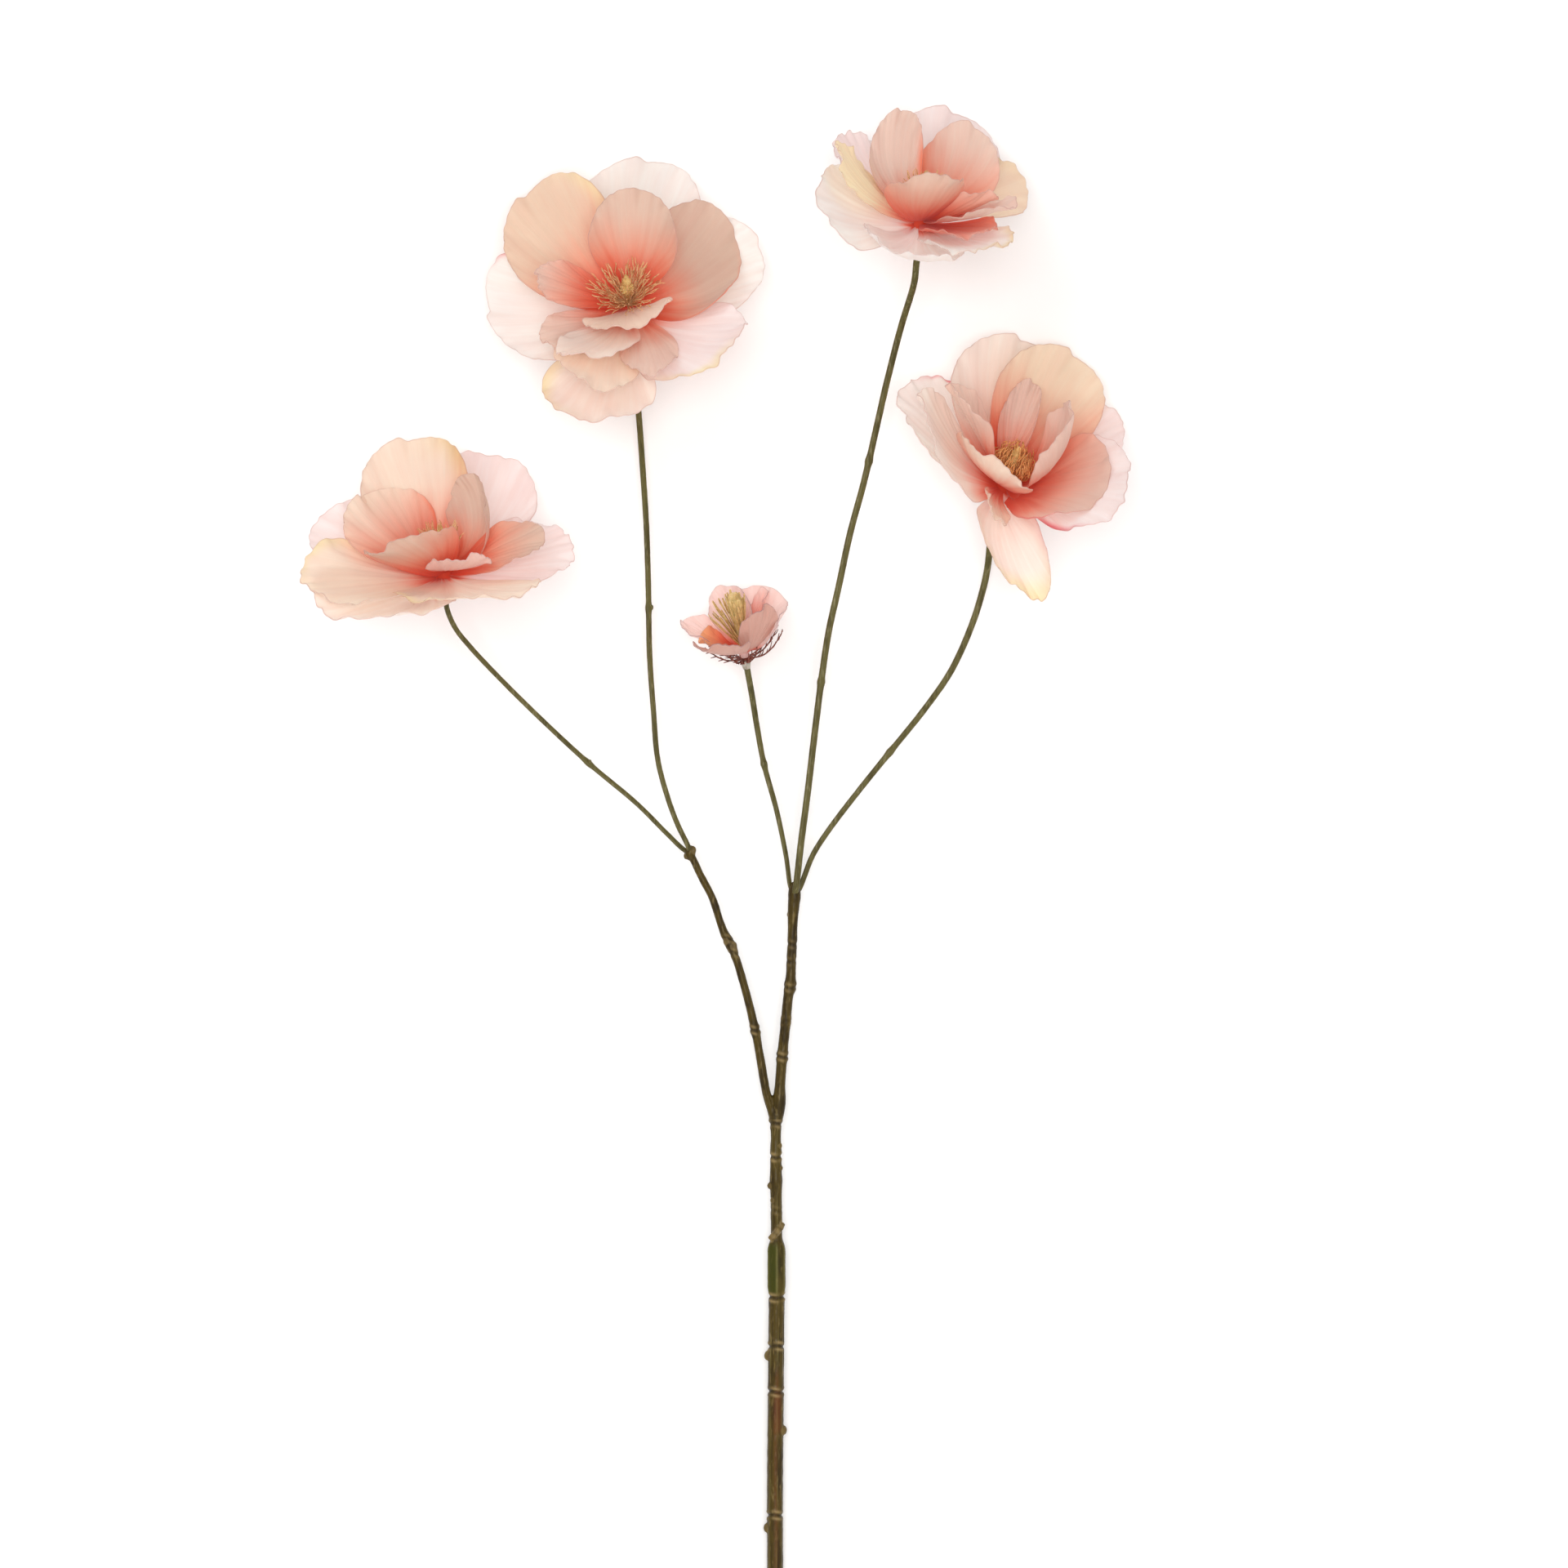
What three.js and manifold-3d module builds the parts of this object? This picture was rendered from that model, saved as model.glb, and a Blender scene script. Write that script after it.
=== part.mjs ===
// A cut artificial ranunculus spray, lying on a surface: one forked stem, five stalks, four open
// blooms and one small cup-shaped flower.
// X is across the spray, Y runs from the cut end of the stem up to the blooms, Z is up.

import * as THREE from "three";
import Module from "manifold-3d";

const wasm = await Module();
wasm.setup();

// Driving dimensions, in millimetres
const petalThickness = 0.8;
const petalCells = 4;
const seatGap = 0.3;
const cutEndRadius = 3.6;
const sleeveRadius = 4.1;
const sleeveSpan = [-186, -160];
const upperStemRadius = 2.6;
const leftLimbRadius = 2;
const rightLimbRadius = 2.4;
const limbTopRadius = 1.6;
const forkKnobRadius = 2.8;
const filamentRadius = 0.42;
const bloomFilaments = 13;
const flowerFilaments = 12;
const bractCount = 7;
const bractRise = 8.5;

// The moulded centre that carries a bloom's petals, and what is stacked on it and under it.
// Heights are along the bloom's own axis, from the point where the petals meet. A pistil is drawn
// as pairs of its share of the height and its radius.
const bloomSeat = {
  hubRadius: 3.6, hubBottom: -4, hubTop: 6.8,
  receptacleTopRadius: 4.6, receptacleBottomRadius: 2.2, receptacleLength: 6,
  buttonRadius: 2, buttonLength: 1,
  pistilLength: 17,
  pistil: [[0, 0.8], [0.26, 0.8], [0.42, 2.1], [0.54, 2.2], [0.64, 1.4], [0.74, 1.8], [0.87, 1], [1, 0.7]],
};
const flowerSeat = {
  hubRadius: 2.3, hubBottom: -2.6, hubTop: 3.2,
  discRadius: 3.1, discLength: 0.9,
  collarTopRadius: 2.4, collarBottomRadius: 1.9, collarLength: 4.4,
  buttonRadius: 1.8, buttonLength: 0.8,
  pistilLength: 24,
  pistil: [[0, 0.8], [0.26, 1.2], [0.6, 2.9], [0.8, 3.4], [0.94, 3], [1, 2]],
};

const colours = {
  stem: 0x6f6a45, petals: 0xf3bfae, stamens: 0xcfa878, pistil: 0x9a9258,
  bracts: 0x6d2f2a, collar: 0xb9ada4, goldenStamens: 0xc9974f,
};

// Petals, in degrees and millimetres. The azimuth is counted round the bloom's axis from the side
// that faces the viewer, the lift is measured from the plane across the axis, and the rise is how
// far up the hub the petal is rooted.
const blooms = {
  a: {
    base: [-39.5, 251, 34.6], tilt: 36, heading: 92,
    petals: [
      { azimuth: 179, lift: 8, length: 78, width: 65, curl: 6, cup: 20, lean: -0.08, roll: -5 },
      { azimuth: 116, lift: 11, length: 65, width: 55, curl: -6, cup: 28, lean: 0.04, roll: 14, rise: 0.5 },
      { azimuth: 282, lift: 11, length: 59, width: 70, curl: -38, cup: 34, lean: -0.38, roll: -3 },
      { azimuth: 338, lift: -21, length: 70, width: 54, curl: 54, cup: 0,
        lean: 0.1, roll: 7, rise: 1.5, seed: 2 },
      { azimuth: 43, lift: 2, length: 64, width: 52, curl: 36, cup: 4,
        lean: 0.08, roll: 9, rise: 1, seed: 3 },
      { azimuth: 233, lift: 20, length: 71, width: 64, curl: -18, cup: 44,
        lean: -0.24, roll: -9, rise: 2.5 },
      { azimuth: 109, lift: 6, length: 55, width: 66, curl: 6, cup: 76, lean: 0.3, roll: 20, rise: 5 },
      { azimuth: 166, lift: 51, length: 52, width: 47, curl: 2, cup: 56, lean: 0.04, roll: 6, rise: 3.5 },
      { azimuth: 264, lift: 23, length: 51, width: 24, curl: 44, cup: 10, lean: 0.3, roll: -6, rise: 6 },
      { azimuth: 310, lift: 7, length: 48, width: 28, curl: 22, cup: 10, roll: -5, rise: 3 },
      { azimuth: 21, lift: 7, length: 52, width: 27, curl: 18, cup: -6,
        lean: -0.14, roll: -6, rise: 4.5, seed: 5 },
      { azimuth: 343, lift: 9, length: 51, width: 34, curl: 26, cup: 12,
        lean: -0.2, roll: 5, rise: 4.5, seed: 6 },
      { azimuth: 332, lift: 2, length: 60, width: 42, curl: 28, cup: 4,
        lean: 0.18, roll: -5, rise: 4, seed: 4 },
      { azimuth: 3, lift: 36, length: 32, width: 43, curl: -4, cup: 26,
        lean: 0.02, roll: 11, rise: 5.5, seed: 7 },
    ],
  },
  b: {
    base: [89, 287, 61.4], tilt: 64, heading: 84,
    petals: [
      { azimuth: 173, lift: -3, length: 86, width: 58, curl: 44, cup: 18, lean: 0.02, roll: 3 },
      { azimuth: 213, lift: 7, length: 66, width: 48, curl: 22, cup: 22, lean: -0.04, roll: 11, seed: 3 },
      { azimuth: 278, lift: 7, length: 52, width: 69, curl: 36, cup: 0, lean: 0.26, roll: -13, seed: 4 },
      { azimuth: 355, lift: -19, length: 61, width: 50, curl: 56, cup: 44, lean: -0.04, roll: -9, seed: 5 },
      { azimuth: 42, lift: 1, length: 57, width: 52, curl: 20, cup: 20, lean: -0.24, roll: -2, seed: 6 },
      { azimuth: 148, lift: 18, length: 63, width: 61, curl: -12, cup: -22,
        lean: 0.04, roll: 5, rise: 3, seed: 7 },
      { azimuth: 266, lift: 18, length: 51, width: 42, curl: 44, cup: 0,
        lean: 0.02, roll: 2, rise: 1.5, seed: 8 },
      { azimuth: 219, lift: 16, length: 56, width: 31, curl: 36, cup: 54,
        lean: -0.36, roll: -20, rise: 4.5 },
      { azimuth: 146, lift: 12, length: 58, width: 41, curl: 34, cup: 10, lean: 0.22, roll: 7, rise: 4 },
      { azimuth: 54, lift: 15, length: 52, width: 36, curl: 20, cup: 30,
        lean: -0.06, roll: 1, rise: 3, seed: 2 },
      { azimuth: 38, lift: 21, length: 35, width: 28, curl: 30, cup: 60,
        lean: 0.38, roll: -16, rise: 3, seed: 9 },
      { azimuth: 355, lift: 24, length: 52, width: 38, curl: 38, cup: 44,
        lean: 0.14, roll: 10, rise: 3, seed: 1 },
      { azimuth: 42, lift: 8, length: 40, width: 40, curl: 10, cup: 20,
        lean: -0.04, roll: -1, rise: 1.5, seed: 3 },
    ],
  },
  c: {
    base: [125.5, 173, 32], tilt: 50, heading: 68,
    petals: [
      { azimuth: 202, lift: 22, length: 74, width: 70, curl: 12, cup: 34, lean: -0.1, roll: 8 },
      { azimuth: 177, lift: 25, length: 73, width: 59, curl: 12, cup: 56, lean: -0.04, roll: 10, rise: 1 },
      { azimuth: 257, lift: 20, length: 61, width: 62, curl: 4, cup: 26, lean: -0.02, roll: 3, seed: 4 },
      { azimuth: 142, lift: 18, length: 65, width: 45, curl: 14, cup: 22, lean: 0.04, roll: 6, seed: 5 },
      { azimuth: 88, lift: 27, length: 68, width: 72, curl: 32, cup: 10,
        lean: -0.42, roll: 4, rise: 2.5, seed: 6 },
      { azimuth: 8, lift: 5, length: 58, width: 37, curl: -26, cup: 76,
        lean: 0.4, roll: 17, rise: 0.5, seed: 7 },
      { azimuth: 71, lift: 39, length: 57, width: 67, curl: 0, cup: 32, lean: -0.14, roll: 13, seed: 8 },
      { azimuth: 302, lift: 17, length: 60, width: 57, curl: 42, cup: 16,
        lean: -0.16, roll: -10, rise: 2.5, seed: 3 },
      { azimuth: 260, lift: 41, length: 51, width: 34, curl: 4, cup: 62, lean: 0.08, roll: 29, rise: 5.4 },
      { azimuth: 191, lift: 34, length: 49, width: 21, curl: -4, cup: 70,
        lean: -0.06, roll: -15, rise: 4.5 },
      { azimuth: 93, lift: 32, length: 54, width: 51, curl: 86, cup: 52, lean: 0.04, roll: -1, rise: 5 },
      { azimuth: 328, lift: 29, length: 40, width: 47, curl: 38, cup: 26, lean: 0.1, roll: 5, rise: 4.5 },
      { azimuth: 351, lift: 9, length: 40, width: 18, curl: 18, cup: 36, lean: 0.24, roll: -25, rise: 2 },
    ],
  },
  d: {
    base: [-120, 133, 50.6], tilt: 66, heading: 93,
    petals: [
      { azimuth: 199, lift: 30, length: 75, width: 58, curl: 12, cup: 56, lean: -0.04, roll: -14 },
      { azimuth: 155, lift: 18, length: 76, width: 58, curl: 14, cup: 34, lean: 0.1, roll: 11, seed: 2 },
      { azimuth: 101, lift: 9, length: 56, width: 48, curl: 2, cup: 10,
        lean: -0.1, roll: 18, rise: 1.5, seed: 3 },
      { azimuth: 15, lift: 3, length: 60, width: 66, curl: 16, cup: 12,
        lean: 0.12, roll: -3, rise: 1, seed: 4 },
      { azimuth: 326, lift: -2, length: 66, width: 70, curl: 14, cup: 30, lean: -0.1, roll: -3, seed: 5 },
      { azimuth: 302, lift: 10, length: 66, width: 66, curl: 0, cup: 32,
        lean: 0.02, roll: -8, rise: 0.5, seed: 6 },
      { azimuth: 242, lift: 12, length: 64, width: 54, curl: 14, cup: 22, roll: -19, seed: 7 },
      { azimuth: 119, lift: 14, length: 47, width: 34, curl: 92, cup: 74, lean: 0.32, roll: 18, rise: 3 },
      { azimuth: 236, lift: 18, length: 51, width: 51, curl: 28, cup: 20,
        lean: -0.02, roll: -10, rise: 4.5 },
      { azimuth: 79, lift: 26, length: 49, width: 33, curl: -6, cup: 24, lean: -0.04, roll: 20, rise: 2.5 },
      { azimuth: 345, lift: 39, length: 43, width: 43, curl: -4, cup: 46, lean: -0.3, roll: 23, rise: 2.5 },
      { azimuth: 20, lift: 14, length: 36, width: 30, curl: 28, cup: 12, lean: 0.06, roll: -6, rise: 5 },
    ],
  },
  e: {
    base: [11.5, 101.5, 32], tilt: 62, heading: 100,
    petals: [
      { azimuth: 179, lift: 44, length: 31, width: 24, curl: 2, cup: 58, lean: 0.14, roll: -20 },
      { azimuth: 144, lift: 40, length: 28, width: 11, curl: 0, cup: 50, lean: -0.02, roll: -11, rise: 1.5 },
      { azimuth: 110, lift: 40, length: 28, width: 44, curl: -4, cup: 50, lean: 0.2, roll: 5, rise: 0.5 },
      { azimuth: 245, lift: 19, length: 30, width: 20, curl: 16, cup: 52, lean: -0.04, roll: 2 },
      { azimuth: 281, lift: 21, length: 19, width: 23, curl: 14, cup: 50, lean: 0.06, rise: 2 },
      { azimuth: 321, lift: 16, length: 28, width: 31, curl: 32, cup: 36, lean: 0.08, roll: 10, rise: 0.5 },
      { azimuth: 29, lift: 39, length: 35, width: 19, curl: 34, cup: 18, lean: 0.06, roll: -9 },
    ],
  },
};

// Routes of the stem, its two limbs and the stalks, from the lower end up
const mainFork = [25.7, -107, 13];
const leftFork = [-12.5, 12, 20.5];
const rightFork = [34, -7, 20.2];
const stemRoute = [
  [25, -347, 3.5], [25.3, -309, 3.8], [25.3, -265, 5], [25.7, -228, 6.5], [26, -191, 8],
  [26, -171, 9], [26, -155, 9.8], [25.7, -129, 11.5], mainFork,
];
const leftLimbRoute = [
  [26, -112, 12.6], [24, -104, 13.2], [21.3, -94.5, 14], [18.8, -80, 15], [16.6, -68, 15.6],
  [12.2, -49.5, 17], [6.4, -31, 18], [2.4, -23, 18.6], [-2.7, -8, 19.4], [-7.4, 1.2, 20], leftFork,
];
const rightLimbRoute = [
  [25.5, -112, 12.6], [27, -101.5, 13.5], [27.7, -90, 14.5], [28.6, -78, 15.5], [30, -65, 16.5],
  [31.2, -52.5, 17.5], [32.1, -47.5, 18], [32.6, -36.5, 18.6], [33, -28, 19.2], [33.3, -17.5, 19.8],
  rightFork,
];
// A stalk ends on its bloom's axis, at the approach's distances behind the seat
const stalks = {
  a: {
    fork: leftFork, lower: 1.15, upper: 1.4, knobs: [[-30.5, 121, 18]], approach: [16, 8, 0],
    route: [
      [-12.8, 13.4, 22.4], [-14.4, 17, 23.2], [-18.1, 24.5, 22.5], [-22.7, 37, 21.5],
      [-27, 53.5, 21], [-29, 76, 20], [-30.7, 100.5, 19], [-31.3, 130, 17.5],
      [-32.3, 159, 15.5], [-34.3, 188.5, 12], [-36, 210, 9.5], [-38.5, 232, 10.5],
    ],
  },
  d: {
    fork: leftFork, lower: 1.05, upper: 1.15, knobs: [[-58, 52, 19.5]], approach: [4, 0],
    route: [
      [-13.8, 12.2, 19.4], [-16.5, 14.2, 19.3], [-23.5, 21, 19.3], [-36, 33.5, 19.5],
      [-58, 52, 19.5], [-80, 72.5, 21.5], [-98, 90.5, 27], [-109.5, 103, 33.5], [-116, 111.5, 39.5],
    ],
  },
  e: {
    fork: rightFork, lower: 1, upper: 1.15, knobs: [[20.3, 51.5, 21.1]], approach: [16, 8, 0],
    route: [
      [33, -5.6, 19.7], [32, -3, 19.2], [30.3, 9.5, 19.2], [26, 30.5, 20], [20.3, 51.5, 20.7],
      [17.2, 68, 20.2],
    ],
  },
  b: {
    fork: rightFork, lower: 1.5, upper: 1.45, knobs: [[45.5, 88, 25.5], [66.5, 186, 30.3]],
    approach: [16, 8, 0],
    route: [
      [34.2, -5.5, 21.8], [34.6, -3, 22.9], [36.8, 16.5, 23.2], [39.5, 37, 23.8], [42, 58, 24.5],
      [43.5, 70.5, 25], [45.7, 88, 25.5], [49, 110, 26.5], [53.3, 129.5, 27.5], [58.7, 154.5, 28.5],
      [64.5, 176, 29.5], [70.5, 202, 31], [74.6, 220, 32], [81, 245, 35],
    ],
  },
  c: {
    fork: rightFork, lower: 1.2, upper: 1.6, knobs: [[76.5, 57, 15.8]], approach: [4, 0],
    route: [
      [35, -5.5, 19.5], [36.5, -3, 19], [38.6, 2.5, 18.8], [42.3, 11.5, 18.4], [49.4, 22.5, 17.8],
      [62, 39, 16.8], [76.5, 57, 15.6], [91.5, 75.5, 14], [104, 93.5, 12.5], [113.3, 114, 10.5],
      [118.3, 130, 10], [120.3, 140, 11.5], [121.2, 150, 14.8],
    ],
  },
};

// Knobs on the stem and its limbs, as centre and radius, and the places of the stem's ring grooves
const stemKnobs = [
  { centre: [21.7, -291, 4.2], radius: 1.6 }, { centre: [29, -247, 6], radius: 1.7 },
  { centre: [22, -213.5, 7.2], radius: 1.6 }, { centre: [27.8, -156, 10], radius: 1.7 },
  { centre: [24.8, -135, 11], radius: 2.4 }, { centre: [31.8, -15.5, 19.6], radius: 1.2 },
  { centre: [6, -30.3, 18.1], radius: 2.6 }, { centre: [4.2, -26, 18.5], radius: 2.3 },
  { centre: [16.4, -67, 15.6], radius: 2.5 }, { centre: [28.6, -79, 15.4], radius: 2.8 },
  { centre: [32.1, -47.5, 18], radius: 2.6 },
];
const stemRings = [-285, -229.5, -209, -187, -124];
const ringLength = 0.8;
const ringDepth = 0.5;

function radians(degrees) {
  return degrees * Math.PI / 180;
}

function smoothStep(from, to, x) {
  const t = Math.min(Math.max((x - from) / (to - from), 0), 1);
  return t * t * (3 - 2 * t);
}

// Repeatable random numbers between 0 and 1
function seededRandom(seed) {
  let state = seed * 7919 + 17;
  return () => {
    state = (state * 16807) % 2147483647;
    return state / 2147483647;
  };
}

function vector(point) {
  return new THREE.Vector3(point[0], point[1], point[2]);
}

function solidFrom(points, triangles) {
  const vertProperties = new Float32Array(points.flatMap((p) => [p.x, p.y, p.z]));
  const triVerts = new Uint32Array(triangles.flat());
  return new wasm.Manifold(new wasm.Mesh({ numProp: 3, vertProperties, triVerts }));
}

function join(solids) {
  return solids.reduce((whole, solid) => whole.add(solid));
}

// A bloom's own frame: its axis, the side that faces the viewer and the side to the right of it
function bloomFrame(bloom) {
  const tilt = radians(bloom.tilt);
  const heading = radians(bloom.heading);
  const axis = new THREE.Vector3(
    Math.sin(tilt) * Math.cos(heading), Math.sin(tilt) * Math.sin(heading), Math.cos(tilt));
  const front = new THREE.Vector3(
    -Math.cos(tilt) * Math.cos(heading), -Math.cos(tilt) * Math.sin(heading), Math.sin(tilt));
  const side = new THREE.Vector3().crossVectors(axis, front);
  return { base: vector(bloom.base), axis, front, side };
}

function framePoint(frame, outFront, outSide, height) {
  return frame.base.clone()
    .addScaledVector(frame.front, outFront)
    .addScaledVector(frame.side, outSide)
    .addScaledVector(frame.axis, height);
}

// The midline of a petal, rising from its root at an angle that grows along it
function petalMidline(petal, along) {
  const steps = 24;
  const reach = { out: 0, up: 0 };
  let angle = radians(petal.lift);
  for (let i = 0; i < steps; i += 1) {
    angle = radians(petal.lift + petal.curl * along * (i + 0.5) / steps);
    reach.out += Math.cos(angle) * petal.length * along / steps;
    reach.up += Math.sin(angle) * petal.length * along / steps;
  }
  reach.angle = radians(petal.lift + petal.curl * along);
  return reach;
}

// One point of a petal's middle surface. u and v run from -1 to 1 across and along it, and the
// square is drawn in to a round outline that narrows to a claw at the root.
function petalPoint(petal, frame, u, v) {
  const { lean = 0, roll = 0, rise = 0, seed = 0 } = petal;
  const rootRadius = 2;
  const clawWidth = 0.46;
  const clawEnd = 0.62;
  const scallop = 0.012;
  const ruffle = 1.2;
  const across = u * Math.sqrt(1 - v * v / 2);
  const length = v * Math.sqrt(1 - u * u / 2);
  const share = (length + 1) / 2;
  const rim = Math.max(Math.abs(u), Math.abs(v));
  const turn = Math.atan2(across, length);
  const edge = smoothStep(0.45, 1, rim) * smoothStep(0.25, 0.75, share);
  const lobes = 0.5 * Math.sin(5 * turn + seed * 1.7) + 0.32 * Math.sin(9 * turn + seed * 2.9)
    + 0.25 * Math.sin(14 * turn + seed * 4.1);
  const swell = 1 + scallop * lobes * edge;
  const claw = clawWidth + (1 - clawWidth) * smoothStep(0, clawEnd, share);
  const lateral = across * petal.width / 2 * claw * swell;
  const reach = petalMidline(petal, share * swell);

  const bend = radians(petal.cup) / (petal.width / 2);
  const flat = Math.abs(bend) < 1e-6;
  const bentAcross = flat ? lateral : Math.sin(bend * lateral) / bend;
  const hollow = flat ? 0 : (1 - Math.cos(bend * lateral)) / bend;
  const wave = Math.sin(4.8 * turn + seed * 2.3) + 0.45 * Math.sin(9.3 * turn + seed * 5.1);
  const lifted = hollow * (0.4 + 0.6 * smoothStep(0, 0.35, share)) + ruffle * wave * edge ** 1.5;

  const turnIn = radians(roll);
  const rolledAcross = bentAcross * Math.cos(turnIn) - lifted * Math.sin(turnIn);
  const rolledUp = bentAcross * Math.sin(turnIn) + lifted * Math.cos(turnIn);
  const outward = reach.out + rootRadius - Math.sin(reach.angle) * rolledUp;
  const upward = reach.up + rise + Math.cos(reach.angle) * rolledUp;
  const sideways = rolledAcross + lean * petal.length * share * share;
  const azimuth = radians(petal.azimuth);
  return framePoint(
    frame,
    outward * Math.cos(azimuth) - sideways * Math.sin(azimuth),
    outward * Math.sin(azimuth) + sideways * Math.cos(azimuth),
    upward);
}

function petalGrid(petal, frame, cells) {
  const rows = [];
  for (let i = 0; i <= cells; i += 1) {
    const row = [];
    for (let j = 0; j <= cells; j += 1) {
      row.push(petalPoint(petal, frame, 2 * j / cells - 1, 2 * i / cells - 1));
    }
    rows.push(row);
  }
  return rows;
}

function gridNormal(rows, i, j) {
  const last = rows.length - 1;
  const down = rows[Math.max(i - 1, 0)][j];
  const up = rows[Math.min(i + 1, last)][j];
  const left = rows[i][Math.max(j - 1, 0)];
  const right = rows[i][Math.min(j + 1, last)];
  const along = up.clone().sub(down);
  const across = right.clone().sub(left);
  return new THREE.Vector3().crossVectors(across, along).normalize();
}

// A petal as a closed blade: both faces split into triangles alike, with a rim between them
function petalSolid(petal, frame) {
  const rows = petalGrid(petal, frame, petalCells);
  const size = petalCells + 1;
  const points = [];
  [0.5, -0.5].forEach((face) => {
    for (let i = 0; i < size; i += 1) {
      for (let j = 0; j < size; j += 1) {
        const normal = gridNormal(rows, i, j);
        points.push(rows[i][j].clone().addScaledVector(normal, face * petalThickness));
      }
    }
  });
  const under = size * size;
  const triangles = [];
  for (let i = 0; i < petalCells; i += 1) {
    for (let j = 0; j < petalCells; j += 1) {
      const a = i * size + j;
      const b = a + 1;
      const c = b + size;
      const d = a + size;
      const outwardDiagonal = (i < petalCells / 2) === (j < petalCells / 2);
      const split = outwardDiagonal ? [[a, b, c], [a, c, d]] : [[a, b, d], [b, c, d]];
      split.forEach(([p, q, r]) => {
        triangles.push([p, q, r]);
        triangles.push([under + p, under + r, under + q]);
      });
    }
  }
  const rim = [];
  for (let j = 0; j < petalCells; j += 1) rim.push(j);
  for (let i = 0; i < petalCells; i += 1) rim.push(i * size + petalCells);
  for (let j = petalCells; j > 0; j -= 1) rim.push(petalCells * size + j);
  for (let i = petalCells; i > 0; i -= 1) rim.push(i * size);
  rim.forEach((p, n) => {
    const q = rim[(n + 1) % rim.length];
    triangles.push([q, p, under + p]);
    triangles.push([q, under + p, under + q]);
  });
  return solidFrom(points, triangles);
}

// A turned piece on a bloom's axis. The profile lists radius and height, and it starts and ends
// on the axis.
function turned(frame, profile, sides) {
  const points = [];
  const triangles = [];
  const inner = profile.slice(1, -1);
  inner.forEach(([radius, height]) => {
    for (let s = 0; s < sides; s += 1) {
      const angle = 2 * Math.PI * s / sides;
      points.push(framePoint(frame, radius * Math.cos(angle), radius * Math.sin(angle), height));
    }
  });
  const bottom = points.length;
  points.push(framePoint(frame, 0, 0, profile[0][1]));
  const top = points.length;
  points.push(framePoint(frame, 0, 0, profile[profile.length - 1][1]));
  for (let s = 0; s < sides; s += 1) {
    const next = (s + 1) % sides;
    triangles.push([bottom, next, s]);
    for (let ring = 0; ring < inner.length - 1; ring += 1) {
      const low = ring * sides;
      const high = low + sides;
      triangles.push([low + s, low + next, high + next]);
      triangles.push([low + s, high + next, high + s]);
    }
    const last = (inner.length - 1) * sides;
    triangles.push([top, last + s, last + next]);
  }
  return solidFrom(points, triangles);
}

function evenShares(steps) {
  return Array.from({ length: steps + 1 }, (_, i) => i / steps);
}

// A round bar along a curve, with a ring of points at each share of its length
function bar(route, radiusAt, sides, shares) {
  const curve = new THREE.CatmullRomCurve3(route, false, "centripetal");
  const steps = shares.length - 1;
  const points = [];
  const triangles = [];
  let normal = new THREE.Vector3(0, 0, 1);
  shares.forEach((share) => {
    const centre = curve.getPointAt(share);
    const tangent = curve.getTangentAt(share);
    normal = normal.clone().addScaledVector(tangent, -normal.dot(tangent)).normalize();
    const binormal = new THREE.Vector3().crossVectors(tangent, normal);
    const radius = radiusAt(share, centre);
    for (let s = 0; s < sides; s += 1) {
      const angle = 2 * Math.PI * s / sides;
      points.push(centre.clone()
        .addScaledVector(normal, radius * Math.cos(angle))
        .addScaledVector(binormal, radius * Math.sin(angle)));
    }
  });
  const start = points.length;
  points.push(curve.getPointAt(0));
  const end = points.length;
  points.push(curve.getPointAt(1));
  for (let s = 0; s < sides; s += 1) {
    const next = (s + 1) % sides;
    triangles.push([start, next, s]);
    for (let i = 0; i < steps; i += 1) {
      const low = i * sides;
      const high = low + sides;
      triangles.push([low + s, low + next, high + next]);
      triangles.push([low + s, high + next, high + s]);
    }
    triangles.push([end, steps * sides + s, steps * sides + next]);
  }
  return solidFrom(points, triangles);
}

function ball(centre, radius, segments) {
  return wasm.Manifold.sphere(radius, segments).translate(centre);
}

function mix(from, to, t) {
  return from + (to - from) * t;
}

// The stem from its cut end to the main fork, thicker below the green sleeve, with its ring grooves
function stemRadius(share, centre) {
  const [low, high] = sleeveSpan;
  const sleeve = smoothStep(low, low + 4, centre.y) * (1 - smoothStep(high - 7, high, centre.y));
  const plain = mix(cutEndRadius, upperStemRadius, smoothStep(high - 8, high, centre.y));
  const onRing = stemRings.some((y) => Math.abs(centre.y - y) < ringLength);
  return mix(plain, sleeveRadius, sleeve) - (onRing ? ringDepth : 0);
}

function stemShares() {
  const span = mainFork[1] - stemRoute[0][1];
  const edges = [-ringLength - 0.4, -ringLength + 0.2, ringLength - 0.2, ringLength + 0.4];
  const ringShares = stemRings.flatMap((y) => edges.map((edge) => (y + edge - stemRoute[0][1]) / span));
  const plain = evenShares(16).filter((share) => ringShares.every((ring) => Math.abs(share - ring) > 0.012));
  return [...plain, ...ringShares].sort((p, q) => p - q);
}

function stemSolid() {
  const leftRadius = (share) => mix(leftLimbRadius, limbTopRadius, share);
  const rightRadius = (share) => mix(rightLimbRadius, rightLimbRadius - 0.3, share);
  return join([
    bar(stemRoute.map(vector), stemRadius, 8, stemShares()),
    bar(leftLimbRoute.map(vector), leftRadius, 6, evenShares(10)),
    bar(rightLimbRoute.map(vector), rightRadius, 6, evenShares(9)),
    ...stemKnobs.map(({ centre, radius }) => ball(centre, radius, 8)),
    ball(mainFork, upperStemRadius + 0.8, 8),
    ball(leftFork, forkKnobRadius, 8),
    ball(rightFork, forkKnobRadius, 8),
  ]);
}

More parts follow.
